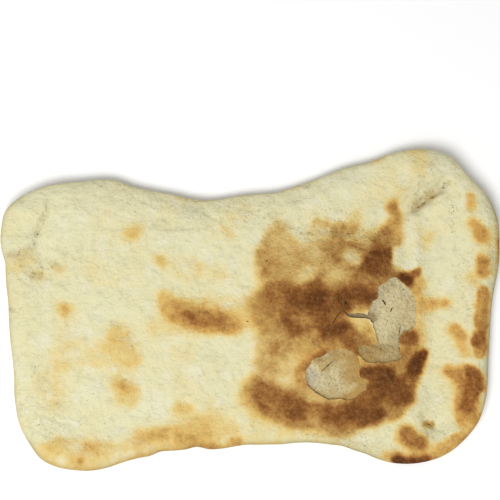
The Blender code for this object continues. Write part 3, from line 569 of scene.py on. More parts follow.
# Places where short dark wrinkle lines are painted, as painted shade in the crust's fine wrinkles
CRINKLE_SHADE_PLACES = (
    (0.7, 3, 4, (-113, 26), (-108, 20), (-100, 21)),
    (0.5, 1, 2.6, (-101.4, 50), (-105.6, 39), (-109.6, 30)), (0.5, 3, 6, (-96, -62), (-112, -52)),
    (0.4, 4, 8, (-60, 57), (-30, 50), (4, 52)), (0.7, 1, 2.4, (97, 62.4), (90, 56.6), (83, 51.3)),
    (0.5, 3, 5, (82, 60), (92, 67), (100, 68)), (0.8, 0.8, 2.4, (101, 50), (99.6, 40)),
    (0.8, 2, 4, (22, 40), (44, 40), (64, 38)), (0.6, 3, 5, (36, 44), (48, 45)),
    (0.5, 2, 4, (8, 47), (22, 42)), (0.8, 1.6, 3.4, (88, -53), (88, -66)),
    (0.6, 2, 4, (92, -60), (102, -62)), (0.5, 2, 5, (30, -62), (52, -65), (68, -70)),
    (0.3, 2, 4, (-122, 2), (-114, 0)), (0.45, 3, 7, (108, 20), (112, -2)),
)
CRINKLE_SHADE_COLOUR = (158, 139, 84)
# Places where the browning is more orange
WARM_PLACES = (
    (1, 10, 10, (118, 55), (116, 0), (112, -50)), (0.9, 7, 10, (100, 40), (96, -20), (98, -50)),
    (0.8, 4, 6, (84, 20), (86, -4), (86, -20)), (0.2, 5, 8, (70, 46), (60, 34), (14, 30)),
    (0.6, 5, 6, (72, -66), (98, -70)), (0.15, 8, 8, (-100, -72), (-50, -66), (0, -62)),
    (0.6, 6, 5, (-38, 2), (-10, -7)), (1, 1.6, 2.4, (25, -35), (24.4, -31), (28, -25.4), (36, -20)),
)
WARMTH = (1.05, 0.965, 0.90)
# Places where the browning is duller
DULL_PLACES = (
    (1, 10, 7, (12, 30), (34, 30), (62, 24)), (1, 6, 6, (12, -18), (12, -30), (24, -46), (60, -60)),
)
DULLNESS = (0.955, 1.0, 1.15)
# Colours of what lies on the crust, of its marks and of the painted shade in its creases, wrinkles and slits,
# and the shares that cover it
FLOUR_COLOUR = (238, 234, 204)
DUST_COLOUR = (204, 199, 158)
ASH_COLOUR = (216, 192, 144)
SCORCH_COLOUR = (46, 28, 14)
SPECK_COLOUR = (132, 116, 72)
# Painted shade in creases, folds, slits and under the bursts' torn edges, and the colour of dark pits and
# specks
SHADE_AND_SPECK_COLOUR = (112, 70, 10)
PORE_COLOUR = (150, 138, 100)
ASH_SHARE = 0.1
SCORCH_SHARE = 0.25
FLOUR_SHARE = 0.6
DUST_SHARE = 0.4
CRINKLE_SHADE_SHARE = 0.8
SPECK_SHARE = 0.6
PORE_SHARE = 0.6

# Noises of the material: size of the lumps, fineness, offset and, for the wrinkles, twist
GRAIN = (0.7 * MM, 3, 0)
FLECK = (2.4 * MM, 3, 0.3)
BLOTCH = (5 * MM, 3, 0.6)
HAZE = (15 * MM, 3, 0.9)
SCORCH = (1.6 * MM, 4, 3.7)
FLOUR = (9 * MM, 4, 1.3)
DUST = (3.4 * MM, 5, 1.7)
CRINKLE = (1.3 * MM, 4, 2.1, 0.8)
PORES = (1.1 * MM, 4, 3.1)
PULLED = (1.5 * MM, 2, 2.7)
SPECK_SPACING = 3 * MM
# Where in its noise each tone starts and where it is full, and the same for a speck and its choice
ASH_RANGE = (0.5, 0.7)
SCORCH_RANGE = (0.5, 0.3)
FLOUR_RANGE = (0.5, 0.68)
DUST_RANGE = (0.5, 0.72)
CRINKLE_RANGE = (0.55, 0.68)
PORE_RANGE = (0.54, 0.66)
SPECK_RANGE = (0.16, 0.06)
SPECK_CHOICE = (0.78, 1)
# Where in the browning each tone starts and where it is full
WARM_BROWNING = (0.2, 0.42)
DULL_BROWNING = (0.06, 0.3)
DULL_END = (0.7, 0.5)
SCORCHED_BROWNING = (0.25, 0.6)
PALE_BROWNING = (0.45, 0.1)
# How strongly the noises stir the browning and the bread inside, and the browning where it ends
BLOTCH_STIR = 1.05
FLECK_STIR = 0.45
GRAIN_STIR = 0.16
HAZE_STIR = 0.4
STIR_END = 1.3
BROWNING_SHIFT = 0.02
CRUMB_FLECK_STIR = 0.7
CRUMB_GRAIN_STIR = 0.5
# Strength of the bumps, and how much more of them brown crust has
GRAIN_BUMPS = 0.4
FLECK_BUMPS = 1.15
PULLED_BUMPS = 0.7
BROWN_BUMPS = 0.9
BUMP_HEIGHT = 0.6 * MM
CRUST_ROUGHNESS = 0.9
CRUST_GLOSS = 0.12

# Floor, light and camera
PHOTO_WIDTH = 0.2493
CAMERA_LENS_MM = 100.0
CAMERA_SENSOR_MM = 36.0
CAMERA_MIDDLE = (0.0, 0.030)
SILHOUETTE_HEIGHT = 0.007
FLOOR_SIZE = 4.0
FLOOR_COLOUR = (0.94, 0.94, 0.94, 1)
FLOOR_ROUGHNESS = 0.9
SKY_STRENGTH = 0.52
LAMP_PLACE = (-0.30, -0.48, 1.1)
LAMP_SIZE = 0.7
LAMP_WATTS = 12.1


def new_object(name, data):
    made = bpy.data.objects.new(name, data)
    bpy.context.scene.collection.objects.link(made)
    return made


def finished(mesh, name):
    """An object made of the faces, all turned outwards."""
    bmesh.ops.recalc_face_normals(mesh, faces=mesh.faces)
    data = bpy.data.meshes.new(name)
    mesh.to_mesh(data)
    mesh.free()
    return new_object(name, data)


def coordinates(bread):
    co = np.empty(len(bread.data.vertices) * 3)
    bread.data.vertices.foreach_get("co", co)
    return co.reshape(-1, 3)


def value_noise(xy, size, seed):
    """Smooth noise between -1 and 1, with lumps of the given size."""
    lattice = np.random.default_rng(seed).uniform(-1, 1, (LATTICE, LATTICE))
    cell = np.floor(xy / size).astype(int)
    share = xy / size - cell
    s, t = (share * share * (3 - 2 * share)).T
    i, j = cell.T % LATTICE
    next_i, next_j = (cell.T + 1) % LATTICE
    low = lattice[i, j] * (1 - s) + lattice[next_i, j] * s
    high = lattice[i, next_j] * (1 - s) + lattice[next_i, next_j] * s
    return low * (1 - t) + high * t


def layered(xy, layers, later=0):
    """Smooth noise added up from layers of height, size and seed."""
    return sum(height * value_noise(xy, size, seed + later) for height, size, seed in layers)


def offsets(xy, layers, later=1):
    """The same in two directions, with later seeds in the second."""
    return np.column_stack([layered(xy, layers), layered(xy, layers, later)])


def smooth_loop(points_mm, samples):
    """A closed smooth curve through the points, in metres, at equal steps of its length."""
    points = np.array(points_mm, float) * MM
    step = np.roll(points, -1, axis=0) - points
    span = np.linalg.norm(step, axis=1)[:, None]
    before, span_before = np.roll(step, 1, axis=0), np.roll(span, 1, axis=0)
    tangent = (before / span_before * span + step / span * span_before) / (span + span_before)
    s = np.linspace(0, 1, SAMPLES_PER_SPAN, endpoint=False)[None, :, None]
    start, end = points[:, None], np.roll(points, -1, axis=0)[:, None]
    leave, arrive = (tangent * span)[:, None], (np.roll(tangent, -1, axis=0) * span)[:, None]
    curve = (
        start * (2 * s**3 - 3 * s**2 + 1)
        + leave * (s**3 - 2 * s**2 + s)
        + end * (3 * s**2 - 2 * s**3)
        + arrive * (s**3 - s**2)
    ).reshape(-1, 2)
    closed = np.vstack([curve, curve[:1]])
    travelled = np.concatenate([[0], np.cumsum(np.linalg.norm(np.diff(closed, axis=0), axis=1))])
    wanted = np.linspace(0, travelled[-1], samples, endpoint=False)
    return np.column_stack([np.interp(wanted, travelled, closed[:, axis]) for axis in (0, 1)])


def bread_outline():
    """The bread's outline, with its bounding box centred on the origin and set to the driving sizes."""
    loop = smooth_loop(OUTLINE_MM, OUTLINE_SAMPLES)
    low, high = loop.min(axis=0), loop.max(axis=0)
    return (loop - (low + high) / 2) * np.array([LENGTH, WIDTH]) / (high - low)


def along_line(xy, line):
    """Each point's distance to a chain of straight pieces, and where on it, 0 to 1, it is nearest."""
    pieces = np.diff(line, axis=0)
    lengths = np.hypot(*pieces.T)
    travelled = np.cumsum(lengths) - lengths
    nearest, place = np.full(len(xy), np.inf), np.zeros(len(xy))
    for start, step, length, before in zip(line, pieces, lengths, travelled):
        offset = xy - start
        share = np.clip(offset @ step / length**2, 0, 1)
        away = np.hypot(*(offset - share[:, None] * step).T)
        closer = away < nearest
        nearest[closer] = away[closer]
        place[closer] = (before + share * length)[closer]
    return nearest, place / lengths.sum()


def soft_bump(reach_share):
    """1 in the middle, falling smoothly to 0 where the share of the reach is 1."""
    return np.clip(1 - reach_share**2, 0, None) ** 2


def straight_fall(reach_share):
    """1 in the middle, falling straight to 0 where the share of the reach is 1."""
    return np.clip(1 - reach_share, 0, None)


def smooth_rise(share):
    """0 up to 0, 1 from 1 on, with level ends."""
    share = np.clip(share, 0, 1)
    return share * share * (3 - 2 * share)


def soft_line(xy, line_mm, half_width_mm):
    """1 on the line, falling smoothly to 0 at the half width and at the line's ends."""
    away, place = along_line(xy, np.array(line_mm, float) * MM)
    ends = smooth_rise(np.minimum(place, 1 - place) / LINE_END_FADE)
    return soft_bump(away / (half_width_mm * MM)) * ends


def oval_share(xy, x, y, half_length, half_width, turn_deg=0.0, squareness=2.0):
    """How far each point is from an oval's middle: 1 on the oval itself. The oval is in millimetres."""
    turn = math.radians(turn_deg)
    dx, dy = xy[:, 0] - x * MM, xy[:, 1] - y * MM
    along = (dx * math.cos(turn) + dy * math.sin(turn)) / (half_length * MM)
    across = (dy * math.cos(turn) - dx * math.sin(turn)) / (half_width * MM)
    return (np.abs(along) ** squareness + np.abs(across) ** squareness) ** (1 / squareness)


def undulation(xy):
    """Slow unevenness of hand-shaped dough."""
    return UNDULATION_HEIGHT * np.array(
        [noise.noise(Vector((x / UNDULATION_SIZE, y / UNDULATION_SIZE, UNDULATION_LAYER))) for x, y in xy]
    )


def curl(xy, form):
    """How far the bread's corners stand off the table, with the form that the rise has over its reach."""
    raised = np.zeros(len(xy))
    for x, y, reach, height in CURLS_MM:
        raised += height * MM * form(oval_share(xy, x, y, reach, reach))
    return raised


def main_crown(xy):
    """Height of the upper crust before the rim rounds it off, with the solid's own forms alone."""
    height = FIELD_THICKNESS + undulation(xy)
    dome_share = oval_share(xy, *DOME["middle_mm"], *DOME["half_mm"], squareness=DOME["squareness"])
    height += DOME["rise"] * smooth_rise((1 - dome_share) / DOME["slope"])
    for x, y, half_length, half_width, turn_deg, rise in PUFFS_MM:
        height += rise * MM * soft_bump(oval_share(xy, x, y, half_length, half_width, turn_deg))
    for sign, forms in ((1, ROLLS_MM), (-1, VALLEYS_MM)):
        for rise, half_width, crest in forms:
            height += sign * rise * MM * soft_line(xy, crest, half_width)
    return height


def fine_relief(xy):
    """Wrinkles, small blisters, pits and unevenness, which the solid leaves out."""
    height = np.zeros(len(xy))
    moved = xy + MM * offsets(xy, LINE_WAVER)
    broken = LINE_STRENGTH + layered(xy, (LINE_BREAKS,))
    for rise, half_width, line in FINE_LINES_MM:
        height += rise * MM * broken * soft_line(moved, line, half_width)
    for x, y, half_length, half_width, turn_deg, rise in FINE_SPOTS_MM:
        height += rise * MM * soft_bump(oval_share(moved, x, y, half_length, half_width, turn_deg))
    rise, size, seed = FOLD_RELIEF
    folded = np.zeros(len(xy))
    for place in FOLDED_PLACES_MM:
        folded = np.maximum(folded, soft_bump(oval_share(xy, *place)))
    height += rise * folded * (FOLD_CREST - FOLD_SHARPNESS * np.abs(value_noise(moved, size, seed)))
    return height + unevenness(xy) + flap_sag(xy)


def unevenness(xy):
    """The dough's small lumps, which the crust and the floors of the bursts have in common."""
    return layered(xy, GRAIN_RELIEF)


def flap_sag(xy):
    """How far the flap of skin in the long burst has sunk."""
    x, y, half_length, half_width, turn_deg, sag = FLAP_SAG_MM
    return -sag * MM * soft_bump(oval_share(xy, x, y, half_length, half_width, turn_deg))


def quarter_round(inward, radius):
    """0 at the rim, 1 from radius inwards, along a quarter of a circle."""
    return np.sqrt(np.clip(1 - (1 - np.clip(inward / radius, 0, 1)) ** 2, 0, 1))


class Crust:
    """Heights of the upper crust and of the underside, over any points of the plan."""

    def __init__(self):
        self.outline = bread_outline()
        self.tree = KDTree(len(self.outline))
        for index, (x, y) in enumerate(self.outline):
            self.tree.insert((x, y, 0), index)
        self.tree.balance()

    def inward(self, xy):
        """Distance to the outline, from the two pieces that meet at its nearest point."""
        nearest = np.array([self.tree.find((x, y, 0))[1] for x, y in xy])
        here = self.outline[nearest]
        away = np.full(len(xy), np.inf)
        for neighbour in (nearest - 1, (nearest + 1) % len(self.outline)):
            step = self.outline[neighbour] - here
            offset = xy - here
            share = np.clip((offset * step).sum(axis=1) / (step * step).sum(axis=1), 0, 1)
            away = np.minimum(away, np.hypot(*(offset - share[:, None] * step).T))
        return away

    def heights(self, xy):
        inward = self.inward(xy)
        shoulder = soft_bump(oval_share(xy, *SHOULDER_MM))
        rounding = quarter_round(inward, TOP_EDGE_ROUNDING + SHOULDER_ROUNDING * shoulder)
        middle, half_band = RIM_MIDDLE_HEIGHT, RIM_BAND / 2
        crown = main_crown(xy) + fine_relief(xy)
        upper = middle + half_band + (crown - middle - half_band) * rounding
        lift = UNDER_EDGE_LIFT * straight_fall(inward / UNDER_LIFT_REACH)
        under = lift + (middle - half_band - lift) * (1 - quarter_round(inward, UNDER_EDGE_ROUNDING))
        under = under + UNDERSIDE_RELIEF * np.clip(LUMP_LEVEL + layered(xy, UNDERSIDE_LUMPS), 0, None)
        return upper + curl(xy, soft_bump), under + curl(xy, straight_fall)


def pillow(name, loop, middle, cells, heights, crowding=1.0):
    """A closed body: a grid drawn to a loop around its middle and doubled. heights(xy) gives both faces."""
    bpy.ops.mesh.primitive_grid_add(x_subdivisions=cells[0], y_subdivisions=cells[1], size=2)
    body = bpy.context.object
    body.name = name
    mesh = bmesh.new()
    mesh.from_mesh(body.data)
    cell = mesh.verts.layers.int.new("cell")
    under = list(mesh.verts)
    for index, vert in enumerate(under):
        vert[cell] = index
    doubled = bmesh.ops.extrude_face_region(mesh, geom=list(mesh.faces))["geom"]
    upper = [item for item in doubled if isinstance(item, bmesh.types.BMVert)]
    around = loop - middle
    half = np.abs(around).max(axis=0)
    order = np.argsort(np.arctan2(around[:, 1], around[:, 0]))
    angles = np.arctan2(around[order, 1], around[order, 0])
    reaches = np.hypot(*around[order].T)
    square = np.array([v.co[:2] for v in under])
    ring = 1 - (1 - np.abs(square).max(axis=1)) ** crowding
    angle = np.arctan2(square[:, 1] * half[1], square[:, 0] * half[0])
    reach = np.interp(angle, angles, reaches, period=2 * math.pi) * ring
    xy = middle + np.column_stack([np.cos(angle), np.sin(angle)]) * reach[:, None]
    high, low = heights(xy)
    for verts, z in ((under, low), (upper, high)):
        for vert in verts:
            at = vert[cell]
            vert.co = (xy[at, 0], xy[at, 1], z[at])
    bmesh.ops.recalc_face_normals(mesh, faces=mesh.faces)
    mesh.to_mesh(body.data)
    mesh.free()
    return body


def floor_heights(xy, floor):
    """A burst's floor, deepest in its bowl and rising to one side, and the crust that was over it."""
    start = np.array(floor["rise_from"], float) * MM
    step = np.array(floor["rise_to"], float) * MM - start
    share = np.clip((xy - start) @ step / (step @ step), 0, 1)
    bowl = soft_bump(oval_share(xy, *floor["bowl"]))
    deepening = (floor["depth"] - floor["edge_depth"]) * bowl
    depth = MM * (floor["edge_depth"] + deepening) * (1 - FLOOR_SHALLOWING * share**FLOOR_CURVE)
    crown = main_crown(xy) + curl(xy, soft_bump) + unevenness(xy)
    return crown - depth + layered(xy, FLOOR_RELIEF) * (1 - share), crown


def opening_cutter(name, edge_mm, middle_mm, floor, seed):
    """What a burst takes away inside its torn, finely toothed edge, down to the floor."""
    height, size = TEETH
    loop = smooth_loop(edge_mm, OPENING_SAMPLES)
    loop = loop + height * offsets(loop, ((1, size, seed),))

    def faces(xy):
        low, crown = floor_heights(xy, floor)
        return np.maximum(low, crown) + CUTTER_MARGIN, low

    return pillow(name, loop, np.array(middle_mm, float) * MM, OPENING_CELLS, faces)


def pocket_cutter(name, oval_mm, floor):
    """The thin hollow under the skin around a burst, which leaves its edge overhanging."""
    x, y, half_length, half_width, turn_deg = oval_mm
    turn = math.radians(turn_deg)
    angle = np.linspace(-math.pi, math.pi, POCKET_SAMPLES, endpoint=False)
    along, across = half_length * np.cos(angle), half_width * np.sin(angle)
    loop = np.column_stack([
        x + along * math.cos(turn) - across * math.sin(turn),
        y + along * math.sin(turn) + across * math.cos(turn),
    ]) * MM

    def faces(xy):
        low, crown = floor_heights(xy, floor)
        ceiling = crown + flap_sag(xy) - SKIN
        edge = smooth_rise((1 - oval_share(xy, *oval_mm)) / POCKET_EDGE)
        middle = np.minimum((low + ceiling) / 2, ceiling - POCKET_DROP)
        half = np.maximum((ceiling - low) / 2, POCKET_HALF_HEIGHT) * np.maximum(edge, POCKET_EDGE_SHARE)
        return middle + half, middle - half

    return pillow(name, loop, np.array((x, y)) * MM, OPENING_CELLS, faces)


def crack_cutter():
    """The narrow crack above the flap of skin."""
    points = np.array(CRACK_EDGE_MM, float) * MM
    top = main_crown(points).mean() + curl(points, soft_bump).mean()
    mesh = bmesh.new()
    verts = [mesh.verts.new((x, y, top - CRACK_DEPTH)) for x, y in points]
    face = mesh.faces.new(verts)
    lifted = bmesh.ops.extrude_face_region(mesh, geom=[face])["geom"]
    for item in lifted:
        if isinstance(item, bmesh.types.BMVert):
            item.co.z += CRACK_DEPTH + CUTTER_MARGIN
    return finished(mesh, "crack_cutter")


def slit_cutter(name, slits, surface):
    """Narrow wedges along the lines, tapering to their ends, from the height that surface(xy) gives."""
    mesh = bmesh.new()
    for half_width, depth, *line in slits:
        points = np.array(line, float) * MM
        travelled = np.concatenate([[0], np.cumsum(np.hypot(*np.diff(points, axis=0).T))])
        count = max(FEWEST_SLIT_RINGS, int(travelled[-1] / SLIT_STEP))
        place = np.linspace(0, travelled[-1], count)
        path = np.column_stack([np.interp(place, travelled, points[:, axis]) for axis in (0, 1)])
        ahead = np.gradient(path, axis=0)
        side = np.column_stack([-ahead[:, 1], ahead[:, 0]]) / np.hypot(*ahead.T)[:, None]
        taper = np.sqrt(np.sin(np.linspace(SLIT_TIP, 1 - SLIT_TIP, count) * math.pi))
        shaken = 1 + layered(path, (SLIT_WAVER,))
        width = (half_width * MM * taper * shaken)[:, None]
        high = surface(path) + SLIT_STEP
        low = surface(path) - depth * MM * taper
        top, bottom = SLIT_TOP_WIDTH, SLIT_BOTTOM_WIDTH
        sides = ((top, high), (bottom, low), (-bottom, low), (-top, high))
        rings = []
        for index in range(count):
            corners = []
            for share, z in sides:
                x, y = path[index] + side[index] * width[index] * share
                corners.append(mesh.verts.new((x, y, z[index])))
            rings.append(corners)
        for ring, following in zip(rings, rings[1:]):
            for at in range(4):
                mesh.faces.new((ring[at], ring[at - 1], following[at - 1], following[at]))
        mesh.faces.new(rings[0])
        mesh.faces.new(rings[-1][::-1])
    return finished(mesh, name)


def slit_shade(co, slits, surface):
    """Painted shade of the slits and of the speck pits: 0 at their upper edges and 1 towards their bottoms."""
    xy = co[:, :2]
    darkening = np.zeros(len(co))
    for half_width, depth, *line in slits:
        away, _ = along_line(xy, np.array(line, float) * MM)
        near = np.nonzero(away < (SLIT_SHADE_WIDTH * half_width + SLIT_SHADE_MARGIN) * MM)[0]
        if len(near):
            down = (surface(xy[near]) - co[near, 2]) / (depth * MM)
            darkening[near] = np.maximum(darkening[near], smooth_rise(SLIT_SHADE_RISE * down))
    return darkening


def slit_groups(crust):
    """Each group of slits with the function that gives the height of the surface that it is cut into."""
    return (
        ("crust_slits", CRUST_SLITS_MM, lambda xy: crust.heights(xy)[0]),
        ("round_slits", ROUND_FLOOR_SLITS_MM, lambda xy: floor_heights(xy, ROUND_FLOOR_MM)[0]),
        ("long_slits", LONG_FLOOR_SLITS_MM, lambda xy: floor_heights(xy, LONG_FLOOR_MM)[0]),
    )


def apply_modifier(bread, kind, **settings):
    modifier = bread.modifiers.new(kind.lower(), kind)
    for name, value in settings.items():
        setattr(modifier, name, value)
    bpy.context.view_layer.objects.active = bread
    bpy.ops.object.modifier_apply(modifier=modifier.name)


def thin_underside(bread, crust):
    """Takes faces out of the underside, which has only low relief."""
    co = coordinates(bread)
    _, under = crust.heights(co[:, :2])
    is_under = co[:, 2] < under + UNDERSIDE_MARGIN
    low = np.nonzero(is_under & (crust.inward(co[:, :2]) > FINE_RIM))[0]
    group = bread.vertex_groups.new(name="underside")
    group.add([int(i) for i in low], 1.0, "REPLACE")
    ratio = 1 - (1 - UNDERSIDE_KEPT) * len(low) / len(co)
    apply_modifier(bread, "DECIMATE", ratio=ratio, vertex_group=group.name)


def build_bread(crust):
    bread = pillow("shaobing_crust", crust.outline, np.zeros(2), UPPER_CELLS, crust.heights, EDGE_CROWDING)
    thin_underside(bread, crust)
    cutters = [
        opening_cutter("round_opening", ROUND_EDGE_MM, ROUND_MIDDLE_MM, ROUND_FLOOR_MM, seed=61),
        opening_cutter("long_opening", LONG_EDGE_MM, LONG_MIDDLE_MM, LONG_FLOOR_MM, seed=63),
        opening_cutter("corner_opening", CORNER_EDGE_MM, CORNER_MIDDLE_MM, LONG_FLOOR_MM, seed=65),
        pocket_cutter("long_pocket", LONG_POCKET_MM, LONG_FLOOR_MM),
        crack_cutter(),
    ]
    cutters += [slit_cutter(*group) for group in slit_groups(crust)]
    for cutter in cutters:
        apply_modifier(bread, "BOOLEAN", operation="DIFFERENCE", solver="MANIFOLD", object=cutter)
        bpy.data.objects.remove(cutter, do_unlink=True)
    bread.data.validate()
    bread.data.shade_smooth()
    bread.data.set_sharp_from_angle(angle=math.radians(SHARP_EDGE_DEG))
    return bread


def spread(xy_mm, radius, soft, line):
    """1 within the radius of a stroke's line, falling off softly outside it."""
    away, _ = along_line(xy_mm, np.array(line, float))
    return np.exp(-((np.clip(away - radius, 0, None) / (STROKE_FALL * soft)) ** 2))


def painted(xy_mm, strokes):
    """The level after each stroke, the palest first, has moved it towards its own."""
    level = np.zeros(len(xy_mm))
    for stroke_level, radius, soft, *line in sorted(strokes, key=lambda stroke: stroke[0]):
        level = level + (stroke_level - level) * spread(xy_mm, radius, soft, line)
    return level


def wobbled(xy_mm):
    """The places moved about a little, so that the strokes' edges waver."""
    return xy_mm + offsets(xy_mm, STROKE_WAVER_MM, later=2)


def browning(xy):
    """How brown the upper crust is: 0 is pale, 1 is char."""
    moved = wobbled(xy / MM)
    level = painted(moved, BROWNING)
    for share, radius, soft, *line in PALE_PLACES:
        level *= 1 - share * spread(moved, radius, soft, line)
    return level


def underside_browning(xy):
    """The underside: evenly golden, with brown spots where the dough lay on the oven's wall."""
    spots = smooth_rise((layered(xy, UNDERSIDE_SPOTS) - UNDERSIDE_SPOT_START) / UNDERSIDE_SPOT_RANGE)
    level = UNDERSIDE_BROWNING + layered(xy, (UNDERSIDE_TONES,)) + UNDERSIDE_SPOT_BROWNING * spots
    return np.clip(level, 0, 1)


def side_drift(co, share_up, inward):
    """How far the browning wanders on its way down the rim's side."""
    share = smooth_rise((DRIFT_START - share_up) / DRIFT_RANGE) * smooth_rise(1 - inward / DRIFT_REACH)
    along = np.column_stack([co[:, 0] + co[:, 1], DRIFT_STRETCH * co[:, 2]])
    drift, size, seed = SIDE_DRIFT
    return drift * share[:, None] * offsets(along, ((1, size, seed),))


def painted_shade_and_specks(xy):
    """Painted shade in creases, folds and along the shoulders, with dark pits and charred specks."""
    share = painted((wobbled(xy / MM) + xy / MM) / 2, PAINTED_SHADE_AND_SPECKS)
    return share * (SHADE_AND_SPECK_STRENGTH + layered(xy, (SHADE_AND_SPECK_UNEVENNESS,)))


def share_down(co, upper):
    """Each point's way down from the crust to a burst's floor: 0 away from the bursts, 1 on the floor."""
    xy = co[:, :2]
    in_round = np.hypot(*(xy - np.array(ROUND_MIDDLE_MM) * MM).T) < ROUND_REACH
    low = np.where(in_round, floor_heights(xy, ROUND_FLOOR_MM)[0], floor_heights(xy, LONG_FLOOR_MM)[0])
    near = in_round | (oval_share(xy, *LONG_REACH_MM) < 1)
    return near * (upper - co[:, 2]) / np.maximum(upper - low, THINNEST)


def write_attributes(bread, crust):
    """Stores, at each point of the mesh, what the material needs to know about its place."""
    co = coordinates(bread)
    xy = co[:, :2].copy()
    upper, under = crust.heights(xy)
    share_up = (co[:, 2] - under) / np.maximum(upper - under, THINNEST)
    is_upper = share_up > UPPER_CRUST_START
    down = is_upper * share_down(co, upper)
    inner = smooth_rise((down - INNER_START) / INNER_RANGE)
    outer = 1 - inner
    torn = smooth_rise(down / TORN_RANGE) * outer
    inward = crust.inward(xy)

    above = browning(xy + side_drift(co, share_up, inward))
    near_rim = smooth_rise(1 - inward / SIDE_BROWNING_REACH)
    below = underside_browning(xy) * (1 - near_rim) + above * near_rim
    level = np.where(is_upper, above, below)
    at_edge = np.exp(-(inward / RIM_BROWNING_REACH) ** 2)
    level = level + RIM_BROWNING * at_edge * (1 + layered(xy, (RIM_UNEVENNESS,)))
    pale = 1 - smooth_rise(level / RIM_SHADE_END)
    level = (level + TORN_BROWNING * torn) * outer + painted(xy / MM, FLOOR_LEVELS) * inner

    # Painted shade in creases, folds, slits and under the bursts' torn edges, with dark pits and charred
    # specks
    darkening = painted_shade_and_specks(xy) * outer * is_upper + painted(xy / MM, FLOOR_SHADE) * inner
    for _, slits, surface in slit_groups(crust):
        darkening = np.maximum(darkening, slit_shade(co, slits, surface) * is_upper)
    layers = {
        "browning": level,
        "inner": inner,
        "painted_shade_and_specks": darkening,
        # painted shade on the rim's outer band, with the rim's duller tan
        "rim": painted(xy / MM, RIM_SHADE_AND_TAN) * np.exp(-inward / RIM_SHADE_REACH) * outer * pale,
        # painted shade of the crust's fine wrinkles
        "crinkle_shade": painted(wobbled(xy / MM), CRINKLE_SHADE_PLACES) * outer * is_upper,
        "warm": painted(xy / MM, WARM_PLACES) * outer,
        "dull": painted(xy / MM, DULL_PLACES) * outer,
    }
    for name, values in layers.items():
        attribute = bread.data.attributes.new(name, "FLOAT", "POINT")
        attribute.data.foreach_set("value", values.astype(np.float32))


def linear(rgb):
    """A colour as it looks under the light, 0 to 255, turned into the surface's own linear one."""
    shares = [channel / 255 for channel in rgb]
    channels = [s / 12.92 if s <= 0.04045 else ((s + 0.055) / 1.055) ** 2.4 for s in shares]
    return (*(channel * SURFACE_SHARE for channel in channels), 1)


class Shader:
    """Short names for adding and joining shader nodes."""

    # Sockets of a colour mix
    MIX_COLOURS = (6, 7)
    MIX_RESULT = 2

    def __init__(self, name):
        self.material = bpy.data.materials.new(name)
        self.material.use_nodes = True
        self.tree = self.material.node_tree
        self.surface = self.tree.nodes["Principled BSDF"]

    def node(self, kind, settings=None, **inputs):
        made = self.tree.nodes.new(kind)
        for name, value in (settings or {}).items():
            setattr(made, name, value)
        for name, value in inputs.items():
            self.plug(made.inputs[name.replace("_", " ")], value)
        return made

    def plug(self, socket, value):
        if isinstance(value, bpy.types.NodeSocket):
            self.tree.links.new(value, socket)
        else:
            socket.default_value = value

    def math(self, operation, first, second):
        made = self.node("ShaderNodeMath", {"operation": operation})
        self.plug(made.inputs[0], first)
        self.plug(made.inputs[1], second)
        return made.outputs[0]

    def times(self, first, second):
        return self.math("MULTIPLY", first, second)

    def plus(self, first, *others):
        for other in others:
            first = self.math("ADD", first, other)
        return first

    def attribute(self, name):
        return self.node("ShaderNodeAttribute", {"attribute_name": name}).outputs["Fac"]

    def noise(self, size, detail, offset, twist=0.0):
        """Noise around 0.5 with lumps of the given size in metres, drawn out into streaks where twisted."""
        moved = self.node("ShaderNodeVectorMath", {"operation": "ADD"})
        self.plug(moved.inputs[0], self.node("ShaderNodeTexCoord").outputs["Object"])
        self.plug(moved.inputs[1], (offset, offset, offset))
        made = self.node("ShaderNodeTexNoise", Scale=1 / size, Detail=detail, Distortion=twist)
        self.plug(made.inputs["Vector"], moved.outputs[0])
        return made.outputs["Fac"]

    def around(self, noise, strength):
        """Noise moved to lie around zero, and made stronger."""
        return self.times(self.math("SUBTRACT", noise, 0.5), strength)

    def patches(self, value, start, full):
        """0 at the start value, 1 at the full one, level beyond both."""
        settings = {"clamp": True, "interpolation_type": "SMOOTHSTEP"}
        made = self.node("ShaderNodeMapRange", settings, Value=value)
        rising = start < full
        low, high = sorted((start, full))
        ends = {"From Min": low, "From Max": high, "To Min": 1 - rising, "To Max": rising}
        for name, end in ends.items():
            made.inputs[name].default_value = float(end)
        return made.outputs["Result"]

    def specks(self, spacing):
        """Small scattered dots, one in a few cells of the given spacing."""
        cells = self.node("ShaderNodeTexVoronoi", Scale=1 / spacing)
        self.plug(cells.inputs["Vector"], self.node("ShaderNodeTexCoord").outputs["Object"])
        chosen = self.node("ShaderNodeSeparateColor", Color=cells.outputs["Color"])
        dot = self.patches(cells.outputs["Distance"], *SPECK_RANGE)
        return self.times(dot, self.patches(chosen.outputs["Red"], *SPECK_CHOICE))

    def ramp(self, value, stops, most=1.0):
        made = self.node("ShaderNodeValToRGB", Fac=self.math("DIVIDE", value, most))
        elements = made.color_ramp.elements
        while len(elements) < len(stops):
            elements.new(0.5)
        for element, (level, rgb) in zip(elements, stops):
            element.position = level / most
            element.color = linear(rgb)
        return made.outputs["Color"]

    def mix(self, share, first, second, blend="MIX"):
        made = self.node("ShaderNodeMix", {"data_type": "RGBA", "blend_type": blend}, Factor=share)
        for socket, colour in zip(self.MIX_COLOURS, (first, second)):
            self.plug(made.inputs[socket], colour)
        return made.outputs[self.MIX_RESULT]

    def cover(self, under, share, rgb, strength=1.0):
        """The colour underneath with a share of another on it."""
        if strength != 1:
            share = self.times(share, strength)
        return self.mix(share, under, linear(rgb))


